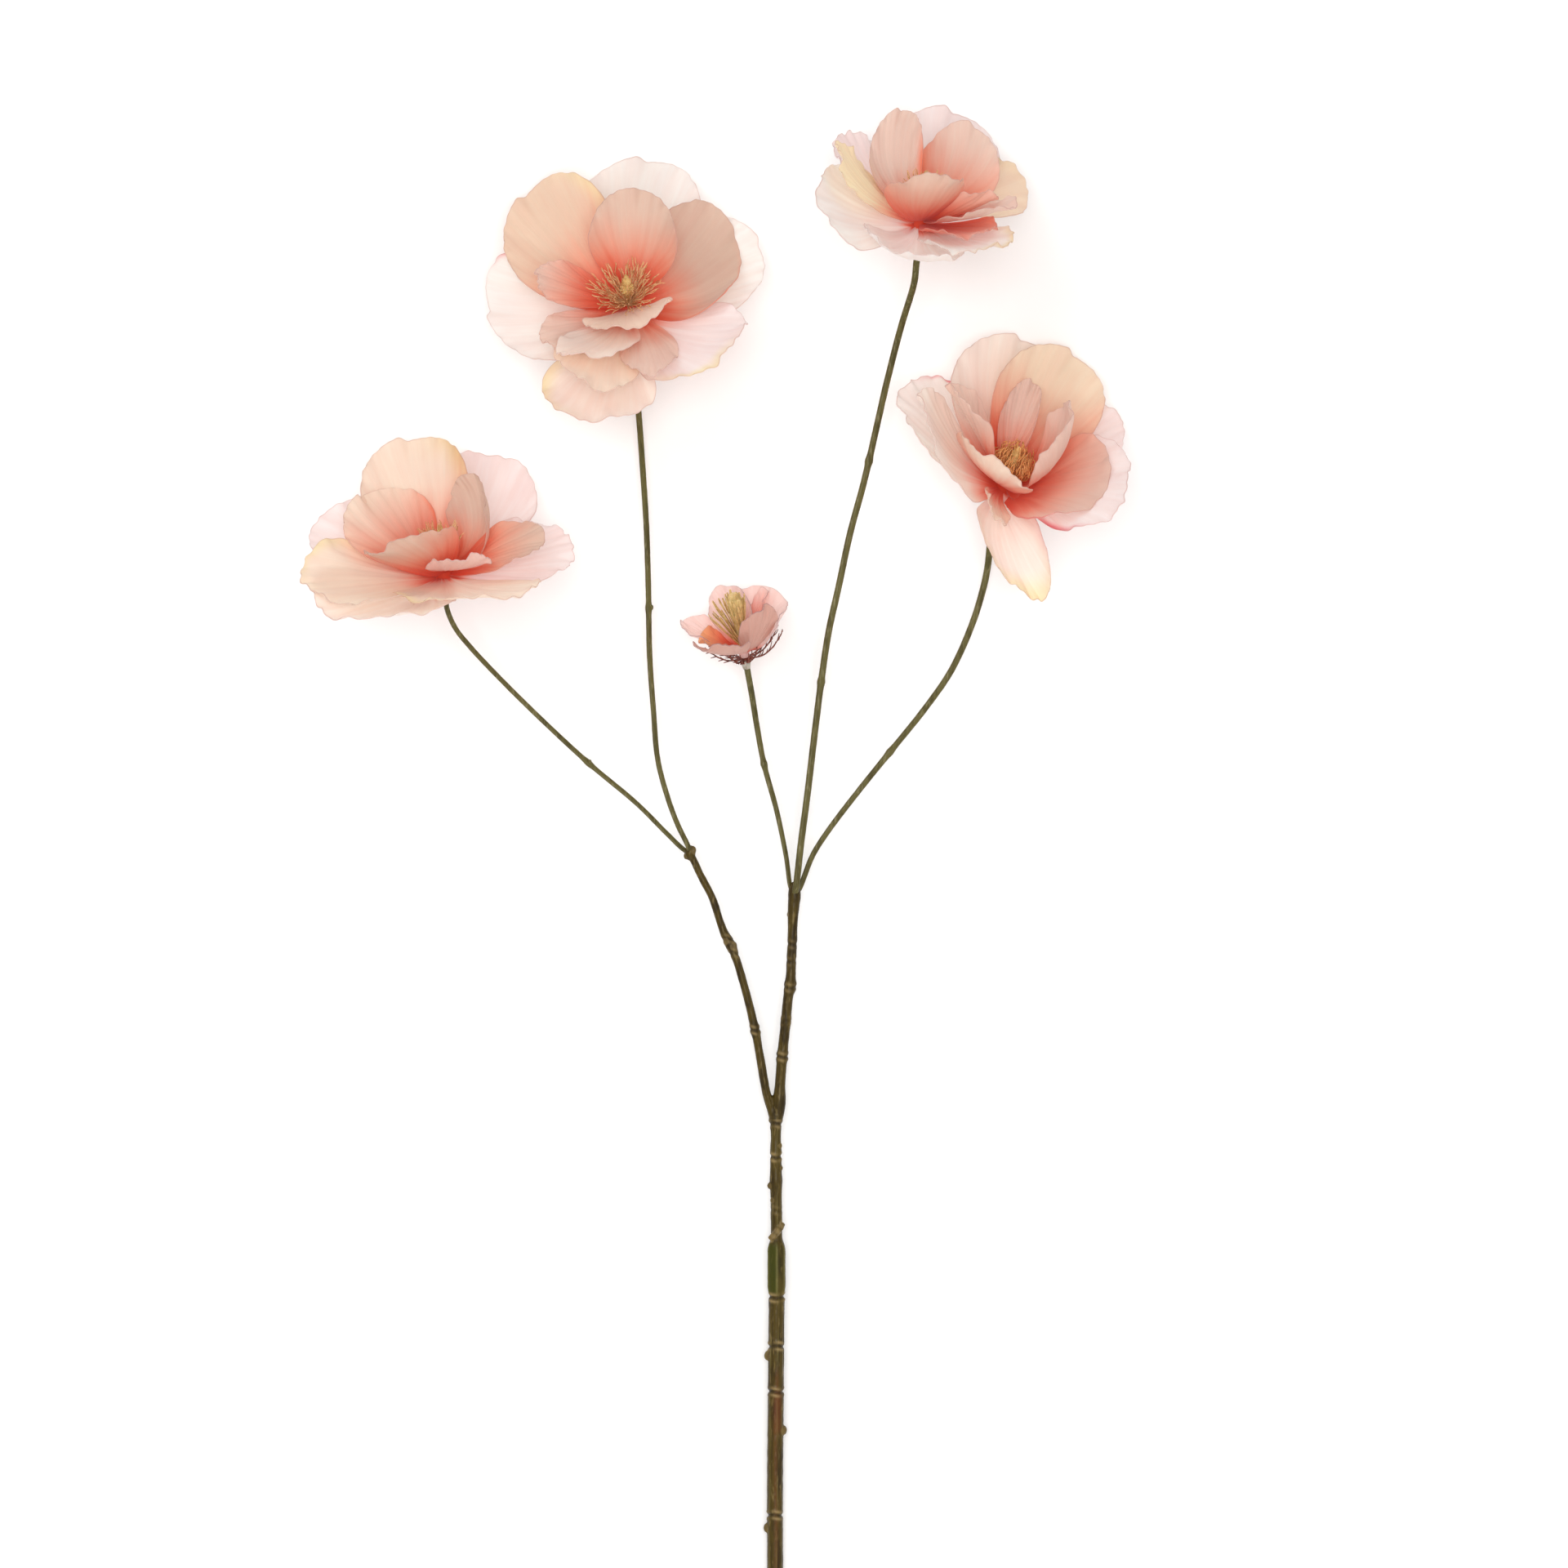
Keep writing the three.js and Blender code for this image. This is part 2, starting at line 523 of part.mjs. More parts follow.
// A stalk runs from the fork's knob to the seat under its bloom, with a gap at both ends
function stalkSolid(name, frame, seatHeight) {
  const stalk = stalks[name];
  const approach = stalk.approach.map((back) => framePoint(frame, 0, 0, seatHeight - seatGap - back));
  const route = [...stalk.route.map(vector), ...approach];
  const whole = bar(route, (share) => mix(stalk.lower, stalk.upper, share), 6, evenShares(15));
  const knobs = stalk.knobs.map((at) => ball(at, stalk.lower + 0.45, 8));
  const clearance = ball(stalk.fork, forkKnobRadius + seatGap, 16);
  return join([whole, ...knobs]).subtract(clearance);
}

function hubSolid(frame, seat) {
  const { hubRadius, hubBottom, hubTop } = seat;
  return turned(frame, [
    [0, hubBottom], [hubRadius, hubBottom], [hubRadius, hubTop - 1], [hubRadius - 1, hubTop], [0, hubTop],
  ], 8);
}

// Where petals cross they can close off a pocket or cut a scrap loose: only the bloom itself is kept
function petalsSolid(bloom, frame, seat) {
  const whole = join([hubSolid(frame, seat), ...bloom.petals.map((petal) => petalSolid(petal, frame))]);
  return join(whole.decompose().filter((shell) => shell.volume() > 1));
}

function receptacleSolid(frame) {
  const top = bloomSeat.hubBottom - seatGap;
  const bottom = top - bloomSeat.receptacleLength;
  return turned(frame, [
    [0, bottom], [bloomSeat.receptacleBottomRadius, bottom],
    [bloomSeat.receptacleBottomRadius + 0.3, bottom + 2],
    [bloomSeat.receptacleTopRadius - 0.5, top - 2.5], [bloomSeat.receptacleTopRadius, top - 1],
    [bloomSeat.receptacleTopRadius - 0.3, top], [0, top],
  ], 8);
}

// Points on a bloom's petals, which its filaments have to stay clear of
function petalSamples(bloom, frame) {
  return bloom.petals.flatMap((petal) => petalGrid(petal, frame, 24).flat());
}

function clearOf(samples, point, distance) {
  return samples.every((sample) => sample.distanceTo(point) > distance);
}

// A bent filament that starts on the button and leans outward, drawn in until no petal is near
function filamentSolid(frame, foot, angle, lean, length, height, samples) {
  const clearance = 2.1;
  let tilt = lean;
  let route = [];
  do {
    route = [0, 0.35, 0.7, 1].map((t) => {
      const out = foot + Math.sin(radians(tilt)) * length * t ** 1.3;
      const up = height + Math.cos(radians(tilt)) * length * t;
      return framePoint(frame, out * Math.cos(angle), out * Math.sin(angle), up);
    });
    tilt -= 3;
  } while (tilt > 9 && !route.slice(1).every((point) => clearOf(samples, point, clearance)));
  return bar(route, () => filamentRadius, 3, evenShares(2));
}

function stamensSolid(bloom, frame, seat, count, lengths, leans, seed) {
  const random = seededRandom(seed);
  const samples = petalSamples(bloom, frame);
  const bottom = seat.hubTop + seatGap;
  const top = bottom + seat.buttonLength;
  const button = turned(frame, [
    [0, bottom], [seat.buttonRadius, bottom], [seat.buttonRadius, top], [0, top],
  ], 8);
  const filaments = [];
  for (let i = 0; i < count; i += 1) {
    const angle = 2 * Math.PI * (i + 0.4 * random()) / count;
    const foot = seat.buttonRadius - filamentRadius - 0.1;
    const length = mix(lengths[0], lengths[1], random());
    const lean = mix(leans[0], leans[1], random());
    filaments.push(filamentSolid(frame, foot, angle, lean, length, top - 0.4, samples));
  }
  return join([button, ...filaments]);
}

// The pistil stands inside the ring of filaments
function pistilSolid(frame, seat) {
  const bottom = seat.hubTop + seatGap + seat.buttonLength + seatGap;
  const outline = seat.pistil.map(([share, radius]) => [radius, bottom + share * seat.pistilLength]);
  return turned(frame, [[0, bottom], ...outline, [0, bottom + seat.pistilLength]], 8);
}

// Feathery bracts under the small flower: ribs from a disc, each with short side twigs
function bractsSolid(frame) {
  const random = seededRandom(31);
  const top = flowerSeat.hubBottom - seatGap;
  const bottom = top - flowerSeat.discLength;
  const disc = turned(frame, [
    [0, bottom], [flowerSeat.discRadius, bottom], [flowerSeat.discRadius, top], [0, top],
  ], 12);
  const ribs = [];
  for (let i = 0; i < bractCount; i += 1) {
    const angle = radians(40 + 360 * i / bractCount);
    const shorter = Math.cos(angle) > 0.3 ? 0.6 : 1;
    const length = mix(13, 17, random()) * shorter;
    const rise = 2.5 + bractRise * Math.max(0, Math.sin(angle));
    const spine = (t) => {
      const out = flowerSeat.discRadius - 0.6 + length * t;
      const up = (top + bottom) / 2 - 1.2 * Math.sin(Math.PI * t) + rise * t * t;
      return [out, up];
    };
    const at = (out, up, sideways) => framePoint(
      frame,
      out * Math.cos(angle) - sideways * Math.sin(angle),
      out * Math.sin(angle) + sideways * Math.cos(angle),
      up);
    const route = [0, 0.3, 0.65, 1].map((t) => at(...spine(t), 0));
    ribs.push(bar(route, (share) => mix(0.55, 0.4, share), 3, evenShares(3)));
    [0.45, 0.75].forEach((t, n) => {
      const [out, up] = spine(t);
      const hand = n % 2 === 0 ? 1 : -1;
      const twig = [at(out, up, 0), at(out + 2.2, up + 0.2, hand * 2), at(out + 3.6, up + 0.5, hand * 3.4)];
      ribs.push(bar(twig, () => 0.4, 3, evenShares(1)));
    });
  }
  return join([disc, ...ribs]);
}

function collarSolid(frame) {
  const top = flowerSeat.hubBottom - seatGap - flowerSeat.discLength - seatGap;
  const bottom = top - flowerSeat.collarLength;
  return turned(frame, [
    [0, bottom], [flowerSeat.collarBottomRadius - 0.2, bottom],
    [flowerSeat.collarBottomRadius, bottom + 1.2], [flowerSeat.collarTopRadius, top - 0.4],
    [flowerSeat.collarTopRadius - 0.2, top], [0, top],
  ], 10);
}

function meshOf(name, solid, colour, roughness) {
  const { numProp, vertProperties, triVerts } = solid.getMesh();
  const positions = new Float32Array(vertProperties.length / numProp * 3);
  for (let i = 0; i < positions.length / 3; i += 1) {
    positions.set(vertProperties.subarray(i * numProp, i * numProp + 3), i * 3);
  }
  const geometry = new THREE.BufferGeometry();
  geometry.setAttribute("position", new THREE.BufferAttribute(positions, 3));
  geometry.setIndex(new THREE.BufferAttribute(new Uint32Array(triVerts), 1));
  const material = new THREE.MeshStandardMaterial({ color: colour, roughness, metalness: 0 });
  const mesh = new THREE.Mesh(geometry, material);
  mesh.name = name;
  return mesh;
}

const group = new THREE.Group();
group.add(meshOf("main_stem", stemSolid(), colours.stem, 0.5));

["a", "b", "c", "d"].forEach((name, index) => {
  const bloom = blooms[name];
  const frame = bloomFrame(bloom);
  const seatHeight = bloomSeat.hubBottom - seatGap - bloomSeat.receptacleLength;
  const stamens = stamensSolid(bloom, frame, bloomSeat, bloomFilaments, [13, 18], [18, 36], index + 3);
  group.add(
    meshOf(`stalk_${name}`, stalkSolid(name, frame, seatHeight), colours.stem, 0.5),
    meshOf(`receptacle_${name}`, receptacleSolid(frame), colours.stem, 0.5),
    meshOf(`petals_${name}`, petalsSolid(bloom, frame, bloomSeat), colours.petals, 0.8),
    meshOf(`stamens_${name}`, stamens, colours.stamens, 0.7),
    meshOf(`pistil_${name}`, pistilSolid(frame, bloomSeat), colours.pistil, 0.6));
});

const flowerFrame = bloomFrame(blooms.e);
const collarBottom = flowerSeat.hubBottom - flowerSeat.discLength - flowerSeat.collarLength - 2 * seatGap;
const flowerStamens = stamensSolid(
  blooms.e, flowerFrame, flowerSeat, flowerFilaments, [18, 22], [15, 26], 11);
group.add(
  meshOf("stalk_e", stalkSolid("e", flowerFrame, collarBottom), colours.stem, 0.5),
  meshOf("collar_e", collarSolid(flowerFrame), colours.collar, 0.4),
  meshOf("bracts_e", bractsSolid(flowerFrame), colours.bracts, 0.6),
  meshOf("petals_e", petalsSolid(blooms.e, flowerFrame, flowerSeat), colours.petals, 0.8),
  meshOf("stamens_e", flowerStamens, colours.goldenStamens, 0.7),
  meshOf("pistil_e", pistilSolid(flowerFrame, flowerSeat), colours.goldenStamens, 0.6));

// The frame's origin is the middle of the spray's footprint, on the surface it lies on
const bounds = new THREE.Box3().setFromObject(group);
const middle = bounds.getCenter(new THREE.Vector3());
group.children.forEach((mesh) => {
  mesh.geometry.translate(-middle.x, -middle.y, -bounds.min.z);
});

export default group;
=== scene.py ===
# A cut artificial ranunculus spray, lying on a pale surface and seen from above.
# Sizes are in millimetres and angles in degrees, in the part's own frame before its origin was moved.
import math
import random
from contextlib import contextmanager

import bmesh
import bpy
import numpy as np
from mathutils import Matrix, Vector


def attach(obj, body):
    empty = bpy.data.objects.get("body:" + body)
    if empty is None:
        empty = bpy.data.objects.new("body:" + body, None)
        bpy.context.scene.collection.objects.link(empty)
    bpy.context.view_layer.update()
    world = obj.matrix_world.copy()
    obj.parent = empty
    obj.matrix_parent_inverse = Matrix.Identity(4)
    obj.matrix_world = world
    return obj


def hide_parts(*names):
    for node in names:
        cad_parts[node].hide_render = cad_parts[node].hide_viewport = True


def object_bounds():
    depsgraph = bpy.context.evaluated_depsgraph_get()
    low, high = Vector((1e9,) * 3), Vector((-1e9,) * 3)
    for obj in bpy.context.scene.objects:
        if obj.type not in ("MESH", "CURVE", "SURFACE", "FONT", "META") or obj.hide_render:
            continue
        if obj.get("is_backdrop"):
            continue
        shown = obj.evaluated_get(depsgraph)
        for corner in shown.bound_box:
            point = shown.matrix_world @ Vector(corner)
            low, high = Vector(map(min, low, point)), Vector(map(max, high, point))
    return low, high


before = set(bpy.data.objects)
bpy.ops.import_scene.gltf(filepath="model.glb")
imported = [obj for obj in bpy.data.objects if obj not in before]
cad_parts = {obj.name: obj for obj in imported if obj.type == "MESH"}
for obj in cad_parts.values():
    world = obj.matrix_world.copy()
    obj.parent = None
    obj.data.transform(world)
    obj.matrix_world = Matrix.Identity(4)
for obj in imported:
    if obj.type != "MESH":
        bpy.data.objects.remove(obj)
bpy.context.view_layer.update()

mm = 0.001
originShift = Vector((-0.237, 0.417, 0.1))    # from the sizes below to the frame's origin


def paint(red, green, blue):    # an sRGB colour of 0 to 255, as the nodes want it
    parts = [c / 255 for c in (red, green, blue)]
    return tuple(c / 12.92 if c <= 0.04045 else ((c + 0.055) / 1.055) ** 2.4 for c in parts) + (1,)


def blendStep(start, end, x):
    t = np.clip((x - start) / (end - start), 0, 1)
    return t * t * (3 - 2 * t)


def bell(away, width):
    return np.exp(-(away / width) ** 2)


def angleBetween(angle, centre):    # from -180 to 180
    return (angle - centre + 180) % 360 - 180


# Nodes

# An input is given a value, a socket, or a node that stands for its first output
def addNode(tree, kind, inputs=None, **settings):
    node = tree.nodes.new(kind)
    for key, value in settings.items():
        setattr(node, key, value)
    for key, value in (inputs or {}).items():
        if isinstance(value, bpy.types.Node):
            value = value.outputs[0]
        if isinstance(value, bpy.types.NodeSocket):
            tree.links.new(value, node.inputs[key])
        else:
            node.inputs[key].default_value = value
    return node


def maths(tree, operation, *values):
    return addNode(tree, "ShaderNodeMath", dict(enumerate(values)), operation=operation).outputs[0]


def vectorMaths(tree, operation, inputs):
    return addNode(tree, "ShaderNodeVectorMath", inputs, operation=operation)


def combined(tree, x, y, z=0.0):
    return addNode(tree, "ShaderNodeCombineXYZ", {0: x, 1: y, 2: z})


def tone(tree, red, green, blue):
    return addNode(tree, "ShaderNodeCombineColor", {0: red, 1: green, 2: blue})


def mixColour(tree, share, first, second, blend="MIX"):
    inputs = {0: share, 6: first, 7: second}
    return addNode(tree, "ShaderNodeMix", inputs, data_type="RGBA", blend_type=blend).outputs[2]


def ramped(tree, value, low, high, toLow=0.0, toHigh=1.0):
    inputs = {"Value": value, "From Min": low, "From Max": high, "To Min": toLow, "To Max": toHigh}
    return addNode(tree, "ShaderNodeMapRange", inputs, interpolation_type="SMOOTHSTEP").outputs[0]


def noise(tree, vector, scale, detail=2.0, roughness=0.5, distortion=0.0):
    return addNode(tree, "ShaderNodeTexNoise", {
        "Vector": vector, "Scale": scale, "Detail": detail, "Roughness": roughness,
        "Distortion": distortion}).outputs["Fac"]


def newSocket(tree, way, label, first):    # with its first value, or only the kind of its values
    kinds = {int: "Int", float: "Float", 3: "Vector", 4: "Color"}
    size = len(first) if isinstance(first, tuple) else type(first)
    kind = first if isinstance(first, str) else kinds[size]
    socket = tree.interface.new_socket(name=label, in_out=way, socket_type="NodeSocket" + kind)
    if kind != first:
        socket.default_value = first


def newGroup(name, kind, inputs, outputs):
    tree = bpy.data.node_groups.new(name, kind)
    for way, sockets in (("INPUT", inputs), ("OUTPUT", outputs)):
        for label, first in sockets.items():
            newSocket(tree, way, label, first)
    return tree, addNode(tree, "NodeGroupInput").outputs


def closeGroup(tree, results):
    addNode(tree, "NodeGroupOutput", results)
    return tree


def emptyMaterial(name):
    material = bpy.data.materials.new(name)
    material.use_nodes = True
    material.node_tree.nodes.clear()
    return material, material.node_tree


# Dyed fabric: coral at the root, thin veins that fan out, a darker cut edge. The weave's scales are
# across and along the petal, and a range is from and to, then what it becomes.
weave = {"veins": (30, 1.4, 1), "bands": (9, 0.8, 1), "clouds": 45.0, "threads": 2400.0,
         "bandFeather": 0.26, "veinFeather": 0.07, "coral": (0.12, 1.05, 0.92, 0.0),
         "ember": (0.1, 0.62, 0.85, 0.0), "veinShade": (0.35, 0.72, 0.955, 1.02),
         "bandShade": (0.3, 0.7, 0.962, 1.02), "cloudShade": (0.3, 0.7, 0.975, 1.02),
         "edge": (0.982, 0.997), "thin": (0.3, 0.75, 0.44, 0.54), "threadHeight": 0.12,
         "veinHeight": 0.9}


def dyedFabricGroup():
    white = (1, 1, 1, 1)
    tree, given = newGroup("dyedFabric", "ShaderNodeTree", {
        "Map": "Vector", "Place": "Vector", "Rim": 0.0, "Dye And Shade": white, "Heart": 0.5, "Coral": white,
        "Ember": white, "Edge": white, "Edge Share": 0.5,
    }, {"Color": "Color", "Height": "Float", "Thin": "Float"})

    def drawn(scale, *rest):
        spread = addNode(tree, "ShaderNodeMapping", {"Vector": given["Map"], "Scale": scale})
        return noise(tree, spread, 1.0, *rest)

    def feathered(lines, depth, along):
        return maths(tree, "MULTIPLY_ADD", maths(tree, "SUBTRACT", lines, 0.5), depth, along)

    veins = drawn(weave["veins"], 3.0, 0.62, 0.35)
    bands = drawn(weave["bands"])
    clouds = noise(tree, given["Place"], weave["clouds"])
    along = addNode(tree, "ShaderNodeSeparateXYZ", {0: given["Map"]}).outputs[1]
    feather = feathered(veins, weave["veinFeather"], feathered(bands, weave["bandFeather"], along))
    reached = maths(tree, "DIVIDE", feather, given["Heart"])
    veinShade = ramped(tree, veins, *weave["veinShade"])
    shade = maths(tree, "MULTIPLY", ramped(tree, clouds, *weave["cloudShade"]),
                  ramped(tree, bands, *weave["bandShade"]))
    edgeShare = maths(tree, "MULTIPLY", ramped(tree, given["Rim"], *weave["edge"]), given["Edge Share"])
    clouded = tone(tree, maths(tree, "POWER", shade, 0.4), shade, shade)
    veined = tone(tree, maths(tree, "POWER", veinShade, 0.3), veinShade,
                  maths(tree, "POWER", veinShade, 1.2))
    colour = mixColour(tree, ramped(tree, reached, *weave["coral"]), given["Dye And Shade"], given["Coral"])
    colour = mixColour(tree, ramped(tree, reached, *weave["ember"]), colour, given["Ember"])
    colour = mixColour(tree, 1.0, colour, clouded, "MULTIPLY")
    colour = mixColour(tree, 1.0, colour, veined, "MULTIPLY")
    threads = noise(tree, given["Place"], weave["threads"], 1.0)
    veinHeight = maths(tree, "MULTIPLY", veins, weave["veinHeight"])
    return closeGroup(tree, {
        "Color": mixColour(tree, edgeShare, colour, given["Edge"]),
        "Height": maths(tree, "MULTIPLY_ADD", threads, weave["threadHeight"], veinHeight),
        "Thin": ramped(tree, veins, *weave["thin"])})


# Moulded plastic: a base tone with darker mottling and paler spots: worn spots, and on the stem painted
# highlights drawn out into streaks
def mouldedGroup():
    tree, given = newGroup("mouldedPlastic", "ShaderNodeTree", {
        "Place": "Vector", "Base": (1, 1, 1, 1), "Dark": (0, 0, 0, 1), "Worn And Glint": (1, 1, 1, 1),
        "Patch Scale": 160.0, "Grain Scale": 1400.0, "Worn And Glint Share": 0.3, "Roughness": 0.47,
    }, {"Color": "Color", "Roughness": "Float", "Height": "Float"})
    patches = noise(tree, given["Place"], given["Patch Scale"], 4.0, 0.6, 0.4)
    grain = noise(tree, given["Place"], given["Grain Scale"])
    specks = noise(tree, given["Place"], maths(tree, "MULTIPLY", given["Patch Scale"], 3.3))
    colour = mixColour(tree, ramped(tree, patches, 0.42, 0.66), given["Base"], given["Dark"])
    wornAndGlintShare = maths(tree, "MULTIPLY", ramped(tree, specks, 0.55, 0.75), given["Worn And Glint Share"])
    return closeGroup(tree, {
        "Color": mixColour(tree, wornAndGlintShare, colour, given["Worn And Glint"]),
        "Roughness": maths(tree, "ADD", ramped(tree, patches, 0.3, 0.7, -0.1, 0.1), given["Roughness"]),
        "Height": maths(tree, "MULTIPLY_ADD", grain, 0.35, maths(tree, "MULTIPLY", patches, 0.65))})


dyedFabric = dyedFabricGroup()
moulded = mouldedGroup()


# Cloth that lets light through. The glow deepens the colour of that light.
def petalMaterial(name, look):
    material, tree = emptyMaterial(name)
    marks = {key: addNode(tree, "ShaderNodeAttribute", attribute_name=key)
             for key in ("dyeAndShade", "rim", "heart")}
    fabric = addNode(tree, "ShaderNodeGroup", {
        "Map": addNode(tree, "ShaderNodeUVMap", uv_map="petalMap"),
        "Place": addNode(tree, "ShaderNodeTexCoord").outputs["Object"],
        "Rim": marks["rim"].outputs["Fac"], "Dye And Shade": marks["dyeAndShade"].outputs["Color"],
        "Heart": marks["heart"].outputs["Fac"], "Coral": paint(*look["coral"]),
        "Ember": paint(*look["ember"]), "Edge": paint(*look["edge"]), "Edge Share": look["edgeShare"],
    }, node_tree=dyedFabric)
    bump = addNode(tree, "ShaderNodeBump", {
        "Strength": look["relief"], "Distance": 0.0004, "Height": fabric.outputs["Height"]})
    cloth = addNode(tree, "ShaderNodeBsdfPrincipled", {
        "Base Color": fabric.outputs["Color"], "Roughness": 0.62, "Normal": bump,
        "Specular IOR Level": 0.25, "Sheen Weight": 0.25, "Sheen Roughness": 0.45})
    deeper = addNode(tree, "ShaderNodeGamma", {0: fabric.outputs["Color"], 1: look["glow"]})
    through = addNode(tree, "ShaderNodeBsdfTranslucent", {"Color": deeper, "Normal": bump})
    both = addNode(tree, "ShaderNodeMixShader", {0: fabric.outputs["Thin"], 1: cloth, 2: through})
    addNode(tree, "ShaderNodeOutputMaterial", {"Surface": both})
    return material


# A piece with stains and painted light carries them in a colour attribute, mixed in by its alpha
def plasticMaterial(name, look):
    look = {**plainPlastic, **look}
    material, tree = emptyMaterial(name)
    coords = addNode(tree, "ShaderNodeTexCoord")
    finish = addNode(tree, "ShaderNodeGroup", {
        "Place": addNode(tree, "ShaderNodeMapping", {
            "Vector": coords.outputs["Object"], "Scale": (1, look["stretch"], 1)}),
        "Base": paint(*look["base"]), "Dark": paint(*look["dark"]), "Worn And Glint": paint(*look["wornAndGlint"]),
        "Patch Scale": look["patchScale"], "Grain Scale": look["grainScale"],
        "Worn And Glint Share": look["wornAndGlintShare"], "Roughness": look["roughness"]}, node_tree=moulded)
    colour = finish.outputs["Color"]
    if look["takesStainAndLight"]:
        stainAndPaintedLight = addNode(tree, "ShaderNodeAttribute", attribute_name="stainAndPaintedLight")
        colour = mixColour(tree, stainAndPaintedLight.outputs["Alpha"], colour, stainAndPaintedLight.outputs["Color"])
    bump = addNode(tree, "ShaderNodeBump", {
        "Strength": look["relief"], "Distance": 0.0003, "Height": finish.outputs["Height"]})
    plastic = addNode(tree, "ShaderNodeBsdfPrincipled", {
        "Base Color": colour, "Roughness": finish.outputs["Roughness"], "Normal": bump,
        "Specular IOR Level": look["shine"], "Subsurface Weight": look["cloudy"],
        "Subsurface Scale": mm})
    addNode(tree, "ShaderNodeOutputMaterial", {"Surface": plastic})
    return material


fabrics = {
    "petalFabric": {"coral": (250, 147, 108), "ember": (234, 84, 58), "edge": (198, 152, 142),
                    "edgeShare": 0.5, "glow": 0.5, "relief": 0.35},
    "smallFlowerFabric": {"coral": (250, 146, 116), "ember": (236, 84, 58), "edge": (156, 124, 130),
                          "edgeShare": 0.6, "glow": 0.5, "relief": 0.35},
}
plainPlastic = {"patchScale": 160.0, "grainScale": 1400.0, "wornAndGlintShare": 0.3, "relief": 0.5,
                "shine": 0.45, "cloudy": 0.0, "stretch": 1.0, "roughness": 0.47, "takesStainAndLight": False}
plastics = {    # where a finish differs from the plain one
    # The stem's paler streaks, drawn out along it, are painted highlights.
    "stemPlastic": dict(base=(74, 60, 24), dark=(48, 37, 15), wornAndGlint=(144, 124, 80), patchScale=240.0,
        grainScale=1500.0, wornAndGlintShare=0.35, shine=0.12, stretch=0.22, roughness=0.3, takesStainAndLight=True),
    "stalkPlastic": dict(base=(94, 87, 50), dark=(72, 65, 34), wornAndGlint=(150, 142, 106), patchScale=300.0,
        grainScale=1500.0, wornAndGlintShare=0.4, relief=0.4, shine=0.15, stretch=0.16, roughness=0.32),
    "receptaclePlastic": dict(base=(90, 86, 44), dark=(68, 58, 30), wornAndGlint=(128, 120, 74), shine=0.15),
    "filamentPlastic": dict(base=(224, 180, 132), dark=(180, 128, 82), wornAndGlint=(242, 210, 166),
        patchScale=300.0, grainScale=2000.0, wornAndGlintShare=0.6, relief=0.3, shine=0.25, cloudy=0.15),
    "denseFilamentPlastic": dict(base=(230, 174, 112), dark=(192, 132, 80), wornAndGlint=(244, 206, 152),
        patchScale=300.0, grainScale=2000.0, wornAndGlintShare=0.6, relief=0.3, shine=0.25, cloudy=0.1),
    "pistilPlastic": dict(base=(216, 180, 116), dark=(178, 134, 76), wornAndGlint=(236, 208, 150),
        patchScale=400.0, grainScale=2600.0, wornAndGlintShare=0.6, relief=0.6, shine=0.3, cloudy=0.15),
    "goldenPlastic": dict(base=(222, 192, 132), dark=(180, 150, 94), wornAndGlint=(240, 220, 172),
        patchScale=260.0, grainScale=2000.0, wornAndGlintShare=0.5, relief=0.4, shine=0.25, cloudy=0.15),
    "bractPlastic": dict(base=(120, 56, 40), dark=(78, 38, 28), wornAndGlint=(158, 92, 66), patchScale=260.0,
        grainScale=2000.0, wornAndGlintShare=0.4, shine=0.35),
    "collarPlastic": dict(base=(172, 162, 148), dark=(126, 116, 98), wornAndGlint=(210, 204, 192),
        patchScale=420.0, grainScale=2000.0, wornAndGlintShare=0.5, shine=0.5, cloudy=0.3),
}
finishes = {name: petalMaterial(name, look) for name, look in fabrics.items()}
finishes.update({name: plasticMaterial(name, look) for name, look in plastics.items()})
print("materials ready")

# Petals. The azimuth goes round the bloom's axis from the side that faces the viewer, the lift is
# measured from the plane across the axis, and the rise is how far up the hub the petal is rooted.
# The heart is how far the coral reaches. After the dye come washes: a tint, its direction on the
# petal, its spread and how deep it runs in from the edge. A crease is its place across the petal and
# its height. Washes and creases are optional.
# The "shade" tint is painted shade: a darker grey-beige that paints the shade on inner petals.
tints = {name: paint(*colour) for name, colour in {
    "pale": (249, 238, 236), "pink": (249, 226, 220), "peach": (247, 230, 208),
    "cream": (248, 232, 216), "yellow": (247, 232, 194), "grey": (240, 217, 204),
    "white": (250, 246, 242), "beige": (243, 220, 198), "shade": (228, 203, 186),
    "dusk": (218, 176, 162), "straw": (240, 212, 164), "ivory": (250, 239, 230),
    "lemon": (254, 243, 212), "orange": (252, 196, 148), "rose": (234, 90, 108),
    "coral": (250, 146, 110)}.items()}
petalColumns = ("azimuth", "lift", "length", "width", "curl", "cup", "lean", "roll", "rise", "seed",
                "wavy", "heart", "dyeAndShade")
